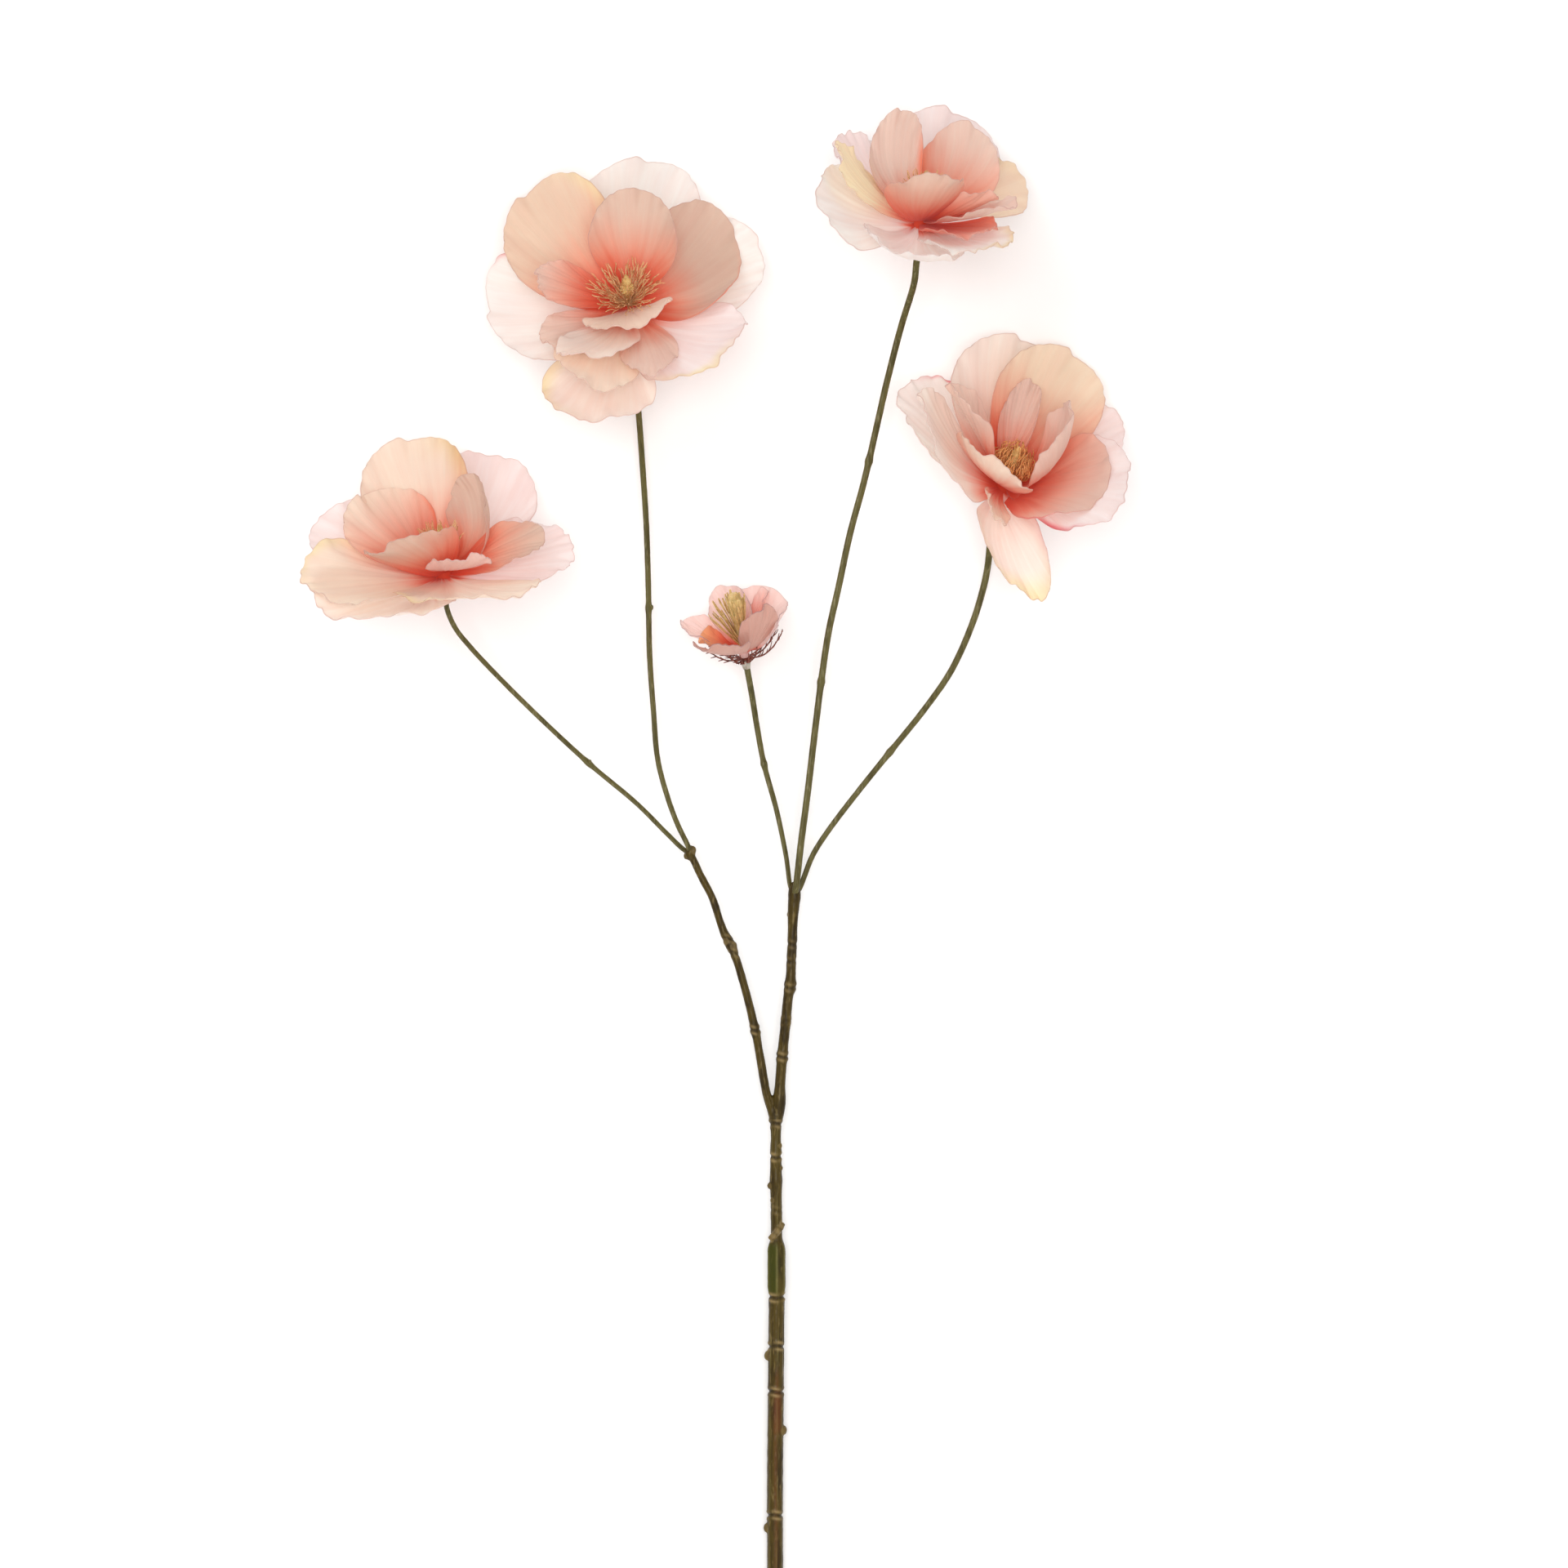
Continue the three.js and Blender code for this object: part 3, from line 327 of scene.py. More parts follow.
bloomA = {
    "base": (-39.5, 251, 34.6), "tilt": 36, "heading": 92, "creases": {"midTop": [(0.12, 0.5)]},
    "petals": {
        "backTop": (179, 8, 78, 65, 6, 20, -0.08, -5, 0, 0, 1, 0.45, "white"),
        "right": (116, 11, 65, 55, -6, 28, 0.04, 14, 0.5, 0, 1, 0.5, "white"),
        "lowLeft": (282, 11, 59, 70, -38, 34, -0.38, -3, 0, 0, 1, 0.14, "white",
            ("rose", -80, 22, 0.1)),
        "bottom": (338, -21, 70, 54, 54, 0, 0.1, 7, 1.5, 2, 1, 0.22, "ivory",
            ("yellow", -70, 40, 0.35)),
        "lowRight": (43, 2, 64, 52, 36, 4, 0.08, 9, 1, 3, 1.3, 0.42, "pale", ("yellow", -35, 35, 0.3)),
        "bigLeft": (233, 20, 71, 64, -18, 44, -0.24, -9, 2.5, 0, 1, 0.66, "beige",
            ("yellow", -75, 30, 0.3)),
        "midRight": (109, 6, 55, 66, 6, 76, 0.3, 20, 5, 0, 1, 0.62, "shade", ("coral", -75, 38, 0.14)),
        "midTop": (166, 51, 52, 47, 2, 56, 0.04, 6, 3.5, 0, 1, 0.85, "shade"),
        "midLeft": (264, 23, 51, 24, 44, 10, 0.3, -6, 6, 0, 1, 1.1, "grey"),
        "midLowLeft": (310, 7, 48, 28, 22, 10, 0, -5, 3, 0, 1, 0.62, "grey"),
        "midLowRight": (21, 7, 52, 27, 18, -6, -0.14, -6, 4.5, 5, 1, 0.62, "grey"),
        "midLowB": (343, 9, 51, 34, 26, 12, -0.2, 5, 4.5, 6, 1, 0.52, "ivory"),
        "midLow": (332, 2, 60, 42, 28, 4, 0.18, -5, 4, 4, 1, 0.34, "cream"),
        "innerFront": (3, 36, 32, 43, -4, 26, 0.02, 11, 5.5, 7, 1, 0.2, "cream"),
    },
}
bloomB = {
    "base": (89, 287, 61.4), "tilt": 64, "heading": 84, "creases": {"left": [(-0.6, 0.5)]},
    "petals": {
        "backTop": (173, -3, 86, 58, 44, 18, 0.02, 3, 0, 0, 1, 0.4, "pale"),
        "leftPink": (213, 7, 66, 48, 22, 22, -0.04, 11, 0, 3, 1.8, 0.4, "pale"),
        "lowLeft": (278, 7, 52, 69, 36, 0, 0.26, -13, 0, 4, 1, 0.16, "white"),
        "bottom": (355, -19, 61, 50, 56, 44, -0.04, -9, 0, 5, 1.4, 0.06, "white"),
        "lowRight": (42, 1, 57, 52, 20, 20, -0.24, -2, 0, 6, 1.6, 0.3, "white",
            ("yellow", 40, 50, 0.3)),
        "rightPeach": (148, 18, 63, 61, -12, -22, 0.04, 5, 3, 7, 1.5, 0.35, "peach",
            ("yellow", 40, 60, 0.4)),
        "leftYellow": (266, 18, 51, 42, 44, 0, 0.02, 2, 1.5, 8, 1.8, 0.5, "lemon"),
        "left": (219, 16, 56, 31, 36, 54, -0.36, -20, 4.5, 0, 1, 0.52, "grey",
            ("coral", -100, 26, 0.35)),
        "right": (146, 12, 58, 41, 34, 10, 0.22, 7, 4, 0, 1, 0.88, "grey", ("coral", 95, 30, 0.35)),
        "rightNarrow": (54, 15, 52, 36, 20, 30, -0.06, 1, 3, 2, 1, 0.5, "grey"),
        "frontRight": (38, 21, 35, 28, 30, 60, 0.38, -16, 3, 9, 1, 1.3, "grey"),
        "front": (355, 24, 52, 38, 38, 44, 0.14, 10, 3, 1, 1, 1.05, "shade"),
        "midLow": (42, 8, 40, 40, 10, 20, -0.04, -1, 1.5, 3, 1, 1.6, "pink"),
    },
}
bloomC = {
    "base": (125.5, 173, 32), "tilt": 50, "heading": 68,
    "petals": {
        "backLeft": (202, 22, 74, 70, 12, 34, -0.1, 8, 0, 0, 1, 0.42, "ivory"),
        "backRight": (177, 25, 73, 59, 12, 56, -0.04, 10, 1, 0, 1, 0.8, "peach"),
        "farLeft": (257, 20, 61, 62, 4, 26, -0.02, 3, 0, 4, 1.6, 0.06, "white",
            ("rose", -60, 30, 0.14)),
        "farRight": (142, 18, 65, 45, 14, 22, 0.04, 6, 0, 5, 1, 0.5, "pale"),
        "rightOuter": (88, 27, 68, 72, 32, 10, -0.42, 4, 2.5, 6, 1, 0.35, "pale",
            ("rose", -95, 26, 0.16)),
        "bottom": (8, 5, 58, 37, -26, 76, 0.4, 17, 0.5, 7, 1.6, 0.14, "ivory",
            ("yellow", 0, 60, 0.45), ("pink", 80, 30, 0.4)),
        "right": (71, 39, 57, 67, 0, 32, -0.14, 13, 0, 8, 1, 0.95, "grey", ("rose", -80, 30, 0.14)),
        "midLeft": (302, 17, 60, 57, 42, 16, -0.16, -10, 2.5, 3, 1, 0.42, "ivory"),
        "innerLeft": (260, 41, 51, 34, 4, 62, 0.08, 29, 5.4, 0, 1, 0.6, "grey"),
        "innerMid": (191, 34, 49, 21, -4, 70, -0.06, -15, 4.5, 0, 1, 0.7, "grey"),
        "innerRight": (93, 32, 54, 51, 86, 52, 0.04, -1, 5, 0, 1, 0.6, "grey"),
        "frontLeft": (328, 29, 40, 47, 38, 26, 0.1, 5, 4.5, 0, 1, 0.8, "cream"),
        "tongue": (351, 9, 40, 18, 18, 36, 0.24, -25, 2, 0, 1, 0.6, "cream"),
    },
}
bloomD = {
    "base": (-120, 133, 50.6), "tilt": 66, "heading": 93,
    "petals": {
        "backTop": (199, 30, 75, 58, 12, 56, -0.04, -14, 0, 0, 1, 0.7, "cream",
            ("straw", -62, 32, 0.5)),
        "rightBack": (155, 18, 76, 58, 14, 34, 0.1, 11, 0, 2, 1, 0.4, "pale"),
        "rightOuter": (101, 9, 56, 48, 2, 10, -0.1, 18, 1.5, 3, 1.6, 0.2, "pale"),
        "bottom": (15, 3, 60, 66, 16, 12, 0.12, -3, 1, 4, 1.6, 0.14, "cream", ("yellow", -60, 36, 0.3)),
        "lowLeft": (326, -2, 66, 70, 14, 30, -0.1, -3, 0, 5, 1.6, 0.4, "ivory"),
        "farLeft": (302, 10, 66, 66, 0, 32, 0.02, -8, 0.5, 6, 1.5, 0.35, "cream",
            ("yellow", -60, 40, 0.25)),
        "leftOuter": (242, 12, 64, 54, 14, 22, 0, -19, 0, 7, 1, 0.5, "pale"),
        "midRight": (119, 14, 47, 34, 92, 74, 0.32, 18, 3, 0, 1, 0.7, "shade"),
        "midLeft": (236, 18, 51, 51, 28, 20, -0.02, -10, 4.5, 0, 1, 0.95, "cream",
            ("coral", -95, 20, 0.12)),
        "right": (79, 26, 49, 33, -6, 24, -0.04, 20, 2.5, 0, 1, 1.0, "shade"),
        "front": (345, 39, 43, 43, -4, 46, -0.3, 23, 2.5, 0, 1, 1.0, "shade"),
        "frontSmall": (20, 14, 36, 30, 28, 12, 0.06, -6, 5, 0, 1, 0.5, "pink"),
    },
}
smallFlower = {
    "base": (11.5, 101.5, 32), "tilt": 62, "heading": 100, "hubAlong": 0.5,
    "petals": {
        "back": (179, 44, 31, 24, 2, 58, 0.14, -20, 0, 0, 0.3, 0.45, "pink"),
        "backRight": (144, 40, 28, 11, 0, 50, -0.02, -11, 1.5, 0, 0.3, 1.05, "pink"),
        "rightBack": (110, 40, 28, 44, -4, 50, 0.2, 5, 0.5, 0, 0.3, 0.25, "pink"),
        "left": (245, 19, 30, 20, 16, 52, -0.04, 2, 0, 0, 0.3, 0.6, "pink"),
        "cup": (281, 21, 19, 23, 14, 50, 0.06, 0, 2, 0, 0.3, 0.95, "orange"),
        "front": (321, 16, 28, 31, 32, 36, 0.08, 10, 0.5, 0, 0.3, 0.25, "dusk"),
        "right": (29, 39, 35, 19, 34, 18, 0.06, -9, 0, 0, 0.3, 0.2, "dusk"),
    },
}
# The waves round a petal's edge are rows of how many, how far a seed turns them, and their share
petalForm = {"thickness": 0.4, "cells": 56, "rootRadius": 2, "clawWidth": 0.46, "clawEnd": 0.62,
             "scallop": 0.012, "nick": 0.0035, "ruffle": 1.2, "frill": 0.4, "pleat": 0.13,
             "finePleat": 0.1, "pleats": 7, "lobes": ((5, 1.7, 0.5), (9, 2.9, 0.32), (14, 4.1, 0.25)),
             "nicks": ((23, 1.3, 1), (37, 2.1, 0.6)), "waves": ((4.8, 2.3, 1), (9.3, 5.1, 0.45)),
             "frills": ((17, 3.7, 1), (29, 1, 0.5))}


def bloomFrame(bloom):    # columns: towards the viewer, to the right, along the bloom's axis
    tilt, heading = math.radians(bloom["tilt"]), math.radians(bloom["heading"])
    east, north = math.cos(heading), math.sin(heading)
    axis = Vector((math.sin(tilt) * east, math.sin(tilt) * north, math.cos(tilt)))
    front = Vector((-math.cos(tilt) * east, -math.cos(tilt) * north, math.sin(tilt)))
    matrix = Matrix((front, axis.cross(front), axis)).transposed().to_4x4()
    matrix.translation = Vector(bloom["base"]) + originShift
    return Matrix.Scale(mm, 4) @ matrix


def ripples(kind, turn, seed):
    return sum(share * np.sin(count * turn + seed * shift) for count, shift, share in petalForm[kind])


# A petal's middle surface on a square grid, drawn in to a round outline with a claw at the root
def petalGrid(petal, creases, cells):
    seed, width, wavy, form = petal["seed"], petal["width"], petal["wavy"], petalForm
    v, u = np.meshgrid(np.linspace(-1, 1, cells + 1), np.linspace(-1, 1, cells + 1), indexing="ij")
    across = u * np.sqrt(1 - v * v / 2)
    share = (v * np.sqrt(1 - u * u / 2) + 1) / 2
    rim = np.maximum(abs(u), abs(v))
    turn = np.arctan2(across, share * 2 - 1)
    edge = blendStep(0.45, 1, rim) * blendStep(0.25, 0.75, share)
    nicks = form["nick"] * wavy * ripples("nicks", turn, seed)
    swell = 1 + (form["scallop"] * ripples("lobes", turn, seed) + nicks * blendStep(0.8, 1, rim)) * edge
    claw = form["clawWidth"] + (1 - form["clawWidth"]) * blendStep(0, form["clawEnd"], share)
    lateral = across * width / 2 * claw * swell
    reach = share * swell

    steps = np.linspace(0, 1.1, 221)    # the midline, bent evenly along its length
    angles = np.radians(petal["lift"] + petal["curl"] * steps)
    stride = np.diff(steps) * petal["length"]
    middles = (angles[1:] + angles[:-1]) / 2
    out, up = (np.interp(reach, steps, np.concatenate([[0], np.cumsum(part(middles) * stride)]))
               for part in (np.cos, np.sin))
    angle = np.interp(reach, steps, angles)

    bend = math.radians(petal["cup"]) / (width / 2)
    flat = abs(bend) <= 1e-6
    bent = lateral if flat else np.sin(bend * lateral) / bend
    hollow = lateral * 0 if flat else (1 - np.cos(bend * lateral)) / bend
    fan = np.arctan2(across, share * 2 + 0.35)
    pleats = form["pleat"] * np.sin(fan * form["pleats"] * 4 + seed) * blendStep(0.05, 0.4, share)
    fine = np.sin(fan * form["pleats"] * 9.7 + seed * 3)
    pleats += form["finePleat"] * fine * blendStep(0.1, 0.5, share)
    for middle, height in creases:
        pleats += height * np.exp(-abs(across - middle) / 0.05) * blendStep(0.2, 0.6, share)
    lifted = hollow * (0.4 + 0.6 * blendStep(0, 0.35, share))
    lifted = lifted + form["ruffle"] * ripples("waves", turn, seed) * edge ** 1.5
    lifted += pleats + form["frill"] * wavy * ripples("frills", turn, seed) * edge ** 3

    roll, azimuth = math.radians(petal["roll"]), math.radians(petal["azimuth"])
    rolledAcross = bent * math.cos(roll) - lifted * math.sin(roll)
    rolledUp = bent * math.sin(roll) + lifted * math.cos(roll)
    outward = out + form["rootRadius"] - np.sin(angle) * rolledUp
    upward = up + petal["rise"] + np.cos(angle) * rolledUp
    sideways = rolledAcross + petal["lean"] * petal["length"] * share * share
    points = np.stack([outward * math.cos(azimuth) - sideways * math.sin(azimuth),
                       outward * math.sin(azimuth) + sideways * math.cos(azimuth), upward], -1)
    return points, {"fan": fan / 2 + 0.5 + seed * 1.37, "along": share, "rim": rim, "turn": turn}


def petalDyeAndShade(dyeAndShade, washes, marks):
    colour = np.ones(marks["rim"].shape + (4,)) * np.array(tints[dyeAndShade])
    for tint, direction, spread, depth in washes:
        away = angleBetween(np.degrees(marks["turn"]), direction)
        share = bell(away, spread) * blendStep(1 - depth, 1.02, marks["rim"])
        colour += share[..., None] * (np.array(tints[tint]) - colour)
    return colour


# Both faces of every petal and the hub that holds them, as one mesh
def petalsMesh(bloom, hub, fabric):
    cells = petalForm["cells"]
    under = (cells + 1) ** 2    # the first point of a petal's lower face
    index = np.arange(under).reshape(cells + 1, cells + 1)
    quads = np.stack([index[:-1, :-1], index[:-1, 1:], index[1:, 1:], index[1:, :-1]], -1)
    quads = quads.reshape(-1, 4)
    loop = np.concatenate([index[0, :-1], index[:-1, -1], index[-1, :0:-1], index[:0:-1, 0]])
    after = np.roll(loop, -1)
    shell = np.concatenate([quads, under + quads[:, ::-1],
                            np.stack([after, loop, under + loop, under + after], -1)])
    points, faces, count = [], [], 0
    marks = {"fan": [], "along": [], "rim": [], "heart": [], "dyeAndShade": []}
    for key, row in bloom["petals"].items():
        petal = dict(zip(petalColumns, row))
        grid, found = petalGrid(petal, bloom.get("creases", {}).get(key, []), cells)
        normal = np.cross(np.gradient(grid, axis=1), np.gradient(grid, axis=0))
        normal /= np.linalg.norm(normal, axis=-1, keepdims=True)
        half = normal * (petalForm["thickness"] / 2)
        points += [(grid + half).reshape(-1, 3), (grid - half).reshape(-1, 3)]
        faces += (shell + count).tolist()
        count += 2 * under
        for mark in ("fan", "along", "rim"):
            marks[mark] += [found[mark].ravel()] * 2
        marks["heart"].append(np.full(2 * under, petal["heart"]))
        marks["dyeAndShade"] += [petalDyeAndShade(petal["dyeAndShade"], row[len(petalColumns):], found).reshape(-1, 4)] * 2
    hubPoints, hubFaces = turnedShape(hub, 32)
    points.append(np.array(hubPoints))
    faces += [[corner + count for corner in face] for face in hubFaces]
    hubMarks = {"fan": 0.5, "along": bloom.get("hubAlong", 0.02), "rim": 0.0, "heart": 0.6}
    for mark, value in hubMarks.items():
        marks[mark].append(np.full(len(hubPoints), value))
    marks["dyeAndShade"].append(np.ones((len(hubPoints), 4)) * np.array(tints["pink"]))

    marks = {mark: np.concatenate(values) for mark, values in marks.items()}
    mesh = meshFrom(np.concatenate(points).tolist(), faces=faces)
    corners = np.zeros(len(mesh.loops), int)
    mesh.loops.foreach_get("vertex_index", corners)
    uv = np.stack([marks["fan"], marks["along"]], -1)[corners]
    mesh.uv_layers.new(name="petalMap").data.foreach_set("uv", uv.ravel().astype(np.float32))
    for mark in ("rim", "heart", "dyeAndShade"):
        setMark(mesh, mark, marks[mark])
    mesh.materials.append(fabric)
    return mesh


def meshFrom(points, edges=(), faces=()):
    mesh = bpy.data.meshes.new("source")
    mesh.from_pydata([tuple(p) for p in points], list(edges), list(faces))
    return mesh


def setMark(mesh, name, values):    # a number or a colour on each point
    values = np.asarray(values)
    kind, field = ("FLOAT", "value") if values.ndim == 1 else ("FLOAT_COLOR", "color")
    mesh.attributes.new(name, kind, "POINT").data.foreach_set(field, values.ravel())


# A profile of radius and height turned round the Z axis, closed at both ends
def turnedShape(profile, sides, wobble=None):
    points, faces = [], []
    for radius, height in profile:
        for s in range(sides):
            angle = 2 * math.pi * s / sides
            r = radius * (1 + (wobble(angle, height) if wobble else 0))
            points.append((r * math.cos(angle), r * math.sin(angle), height))
    top = (len(profile) - 1) * sides
    for low in range(0, top, sides):
        for s in range(sides):
            n = (s + 1) % sides
            faces.append((low + s, low + n, low + sides + n, low + sides + s))
    bottom = len(points)
    points += [(0, 0, profile[0][1]), (0, 0, profile[-1][1])]
    for s in range(sides):
        n = (s + 1) % sides
        faces += [(bottom, n, s), (bottom + 1, top + s, top + n)]
    return points, faces


def turnedMesh(profile, sides, wobble=None, material=None):
    points, faces = turnedShape(profile, sides, wobble)
    mesh = meshFrom(points, faces=faces)
    if material:
        mesh.materials.append(material)
    return mesh


def ribbed(count, depth):    # for a turned shape's wobble
    return lambda angle, height: depth * math.cos(count * angle)


@contextmanager
def opened(mesh):    # a mesh as a bmesh, written back at the end
    work = bmesh.new()
    work.from_mesh(mesh)
    yield work
    work.to_mesh(mesh)
    work.free()


def newObject(name, data):
    made = bpy.data.objects.new(name, data)
    bpy.context.scene.collection.objects.link(made)
    return made


# A mesh goes to its place as a piece that takes over a node of the part, named alike unless given
def deliver(kind, letter, mesh, place, node=None):
    mesh.name = kind + letter.upper()
    mesh.transform(place)
    with opened(mesh) as work:
        bmesh.ops.dissolve_degenerate(work, edges=work.edges, dist=1e-9)
    mesh.shade_smooth()
    mesh.set_sharp_from_angle(angle=math.radians(50))
    piece = newObject(kind + letter.upper(), mesh)
    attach(piece, "root")
    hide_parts(node or kind + "_" + letter)


# Geometry Nodes

def newTree(name, sockets):
    sockets = {"Geometry": "Geometry", **sockets, "Material": "Material"}
    return newGroup(name, "GeometryNodeTree", sockets, {"Geometry": "Geometry"})


def closeTree(tree, given, shape):
    inputs = {0: realized(tree, shape), "Material": given["Material"]}
    return closeGroup(tree, {"Geometry": addNode(tree, "GeometryNodeSetMaterial", inputs)})


def realized(tree, shape):
    return addNode(tree, "GeometryNodeRealizeInstances", {0: shape})


def namedMark(tree, name):
    return addNode(tree, "GeometryNodeInputNamedAttribute", {"Name": name}, data_type="FLOAT")


def storedMark(tree, shape, name, value, domain):
    return addNode(tree, "GeometryNodeStoreNamedAttribute", {0: shape, "Name": name, "Value": value},
                   data_type="FLOAT", domain=domain)


def unitCircle(tree, sides):
    inputs = {"Resolution": sides, "Radius": 1.0}
    return addNode(tree, "GeometryNodeCurvePrimitiveCircle", inputs, mode="RADIUS")


def swept(tree, curve, ring, scale):
    inputs = {0: curve, 1: ring, "Scale": scale, "Fill Caps": True}
    return addNode(tree, "GeometryNodeCurveToMesh", inputs)


def around(tree, turn, radius, height=0.0):    # a place on a circle round the Z axis
    sides = [maths(tree, "MULTIPLY", maths(tree, way, turn), radius) for way in ("COSINE", "SINE")]
    return combined(tree, *sides, height)


def moved(tree, shape, offset):
    return addNode(tree, "GeometryNodeSetPosition", {0: shape, "Offset": offset})


def shapeCurve(tree, value, shape):    # the shape lists value and result, both from 0 to 1
    node = addNode(tree, "ShaderNodeFloatCurve", {"Factor": 1.0, "Value": value})
    points = node.mapping.curves[0].points
    points[0].location, points[1].location = shape[0], shape[-1]
    for spot in shape[1:-1]:
        points.new(*spot)
    node.mapping.update()
    return node.outputs[0]


# A moulded rod along every line of the source, as thick as the line's girth, with a rough skin
def rodTree():
    tree, given = newTree("mouldedRod", {
        "Spacing": 1.0, "Sides": 16, "Bump Height": 0.1, "Bump Size": 4.0, "Flutes": 0.0,
        "Flute Depth": 0.0})
    lines = addNode(tree, "GeometryNodeMeshToCurve", {0: given["Geometry"]})
    even = addNode(tree, "GeometryNodeResampleCurve", {0: lines, "Length": given["Spacing"]},
                   mode="LENGTH")
    ring = storedMark(tree, unitCircle(tree, given["Sides"]), "around",
                      addNode(tree, "GeometryNodeSplineParameter"), "POINT")
    rod = swept(tree, even, ring, namedMark(tree, "girth"))
    turn = maths(tree, "MULTIPLY", namedMark(tree, "around"),
                 maths(tree, "MULTIPLY", given["Flutes"], 2 * math.pi))
    flute = maths(tree, "MULTIPLY", maths(tree, "COSINE", turn), given["Flute Depth"])
    at = addNode(tree, "GeometryNodeInputPosition")
    rough = noise(tree, at, maths(tree, "DIVIDE", 1.0, given["Bump Size"]), 3.0, 0.6)
    rough = maths(tree, "SUBTRACT", rough, 0.5)
    push = vectorMaths(tree, "SCALE", {
        0: addNode(tree, "GeometryNodeInputNormal"),
        3: maths(tree, "MULTIPLY_ADD", rough, given["Bump Height"], flute)})
    return closeTree(tree, given, moved(tree, rod, push))


# A tuft of bent filaments that stand on a small disc and lean outward
def tuftTree():
    tree, given = newTree("filamentTuft", {
        "Count": 80, "Foot Radius": 2.0, "Shortest": 10.0, "Longest": 15.0, "Inner Lean": 0.1,
        "Outer Lean": 0.6, "Lean Spread": 0.3, "Sway": (0, 0, 0), "Curl": 3.0, "Curl Size": 7.0,
        "Close": 0.0, "Girth": 0.2, "Flatness": 1.0, "Sides": 5, "Seed": 1})

    def chance(low, high, shift):
        inputs = {2: low, 3: high, 8: maths(tree, "ADD", given["Seed"], shift)}
        return addNode(tree, "FunctionNodeRandomValue", inputs, data_type="FLOAT").outputs[1]

    def grown(power, amount):    # more towards a filament's tip
        return maths(tree, "MULTIPLY", maths(tree, "POWER", share, power), amount)

    turn = chance(0.0, 2 * math.pi, 11)
    outward = maths(tree, "SQRT", chance(0.0, 1.0, 23))
    foot = around(tree, turn, maths(tree, "MULTIPLY", outward, given["Foot Radius"]))
    feet = addNode(tree, "GeometryNodePoints", {"Count": given["Count"]})
    feet = addNode(tree, "GeometryNodeSetPosition", {0: feet, "Position": foot})
    reach = maths(tree, "SUBTRACT", given["Outer Lean"], given["Inner Lean"])
    lean = maths(tree, "MULTIPLY_ADD", outward, reach, given["Inner Lean"])
    lean = maths(tree, "MULTIPLY_ADD", chance(-0.5, 0.5, 37), given["Lean Spread"], lean)
    aim = around(tree, turn, maths(tree, "SINE", lean), maths(tree, "COSINE", lean))
    aim = vectorMaths(tree, "ADD", {0: aim, 1: given["Sway"]})
    length = chance(given["Shortest"], given["Longest"], 41)
    thread = addNode(tree, "GeometryNodeCurvePrimitiveLine", {"Start": (0, 0, 0), "End": (0, 0, 1)})
    stand = addNode(tree, "GeometryNodeInstanceOnPoints", {
        "Points": feet,
        "Instance": addNode(tree, "GeometryNodeResampleCurve", {0: thread, "Count": 11}, mode="COUNT"),
        "Rotation": addNode(tree, "FunctionNodeAlignRotationToVector", {"Vector": aim}, axis="Z"),
        "Scale": combined(tree, length, length, length)})
    loose = realized(tree, storedMark(tree, stand, "strand", chance(0.0, 1.0, 53), "INSTANCE"))
    share = addNode(tree, "GeometryNodeSplineParameter")
    at = addNode(tree, "GeometryNodeInputPosition")
    waves = addNode(tree, "ShaderNodeTexNoise", {
        "Vector": at, "W": maths(tree, "MULTIPLY", namedMark(tree, "strand"), 40.0),
        "Scale": maths(tree, "DIVIDE", 1.0, given["Curl Size"]), "Detail": 1.0}, noise_dimensions="4D")
    centred = vectorMaths(tree, "SUBTRACT", {0: waves.outputs["Color"], 1: (0.5, 0.5, 0.5)})
    bend = vectorMaths(tree, "SCALE", {0: centred, 3: grown(1.4, given["Curl"])})
    inward = vectorMaths(tree, "MULTIPLY", {0: at, 1: (-1, -1, 0)})
    bend = vectorMaths(tree, "MULTIPLY_ADD", {0: inward, 1: grown(2.0, given["Close"]), 2: bend})
    thickness = shapeCurve(tree, share, [(0, 0.9), (0.6, 0.6), (0.93, 0.95), (1, 0.55)])
    ring = addNode(tree, "GeometryNodeTransform", {
        0: unitCircle(tree, given["Sides"]), "Scale": combined(tree, 1.0, given["Flatness"], 1.0)})
    thickness = maths(tree, "MULTIPLY", thickness, given["Girth"])
    return closeTree(tree, given, swept(tree, moved(tree, loose, bend), ring, thickness))


# Small knobs set in a spiral over a turned head that stands on the Z axis. The outline lists shares
# of the head's height and of its widest radius.
def knobTree(outline):
    tree, given = newTree("spiralKnobs", {
        "Count": 60, "Bottom": 0.2, "Top": 0.9, "Height": 17.0, "Widest": 2.0, "Knob Radius": 0.45})
    index = addNode(tree, "GeometryNodeInputIndex")
    share = maths(tree, "DIVIDE", maths(tree, "ADD", index, 0.5), given["Count"])
    turn = maths(tree, "MULTIPLY", index, math.pi * (3 - math.sqrt(5)))    # the golden angle
    span = maths(tree, "SUBTRACT", given["Top"], given["Bottom"])
    climb = maths(tree, "MULTIPLY_ADD", share, span, given["Bottom"])
    radius = maths(tree, "MULTIPLY", shapeCurve(tree, climb, outline), given["Widest"])
    spot = around(tree, turn, radius, maths(tree, "MULTIPLY", climb, given["Height"]))
    spots = addNode(tree, "GeometryNodePoints", {"Count": given["Count"], "Position": spot})
    inputs = {"Radius": given["Knob Radius"], "Subdivisions": 2}
    knob = addNode(tree, "GeometryNodeMeshIcoSphere", inputs)
    knobs = addNode(tree, "GeometryNodeInstanceOnPoints", {"Points": spots, "Instance": knob})
    both = addNode(tree, "GeometryNodeJoinGeometry", {0: given["Geometry"]})
    tree.links.new(realized(tree, knobs).outputs[0], both.inputs[0])
    return closeTree(tree, given, both)


mouldedRod = rodTree()
filamentTuft = tuftTree()


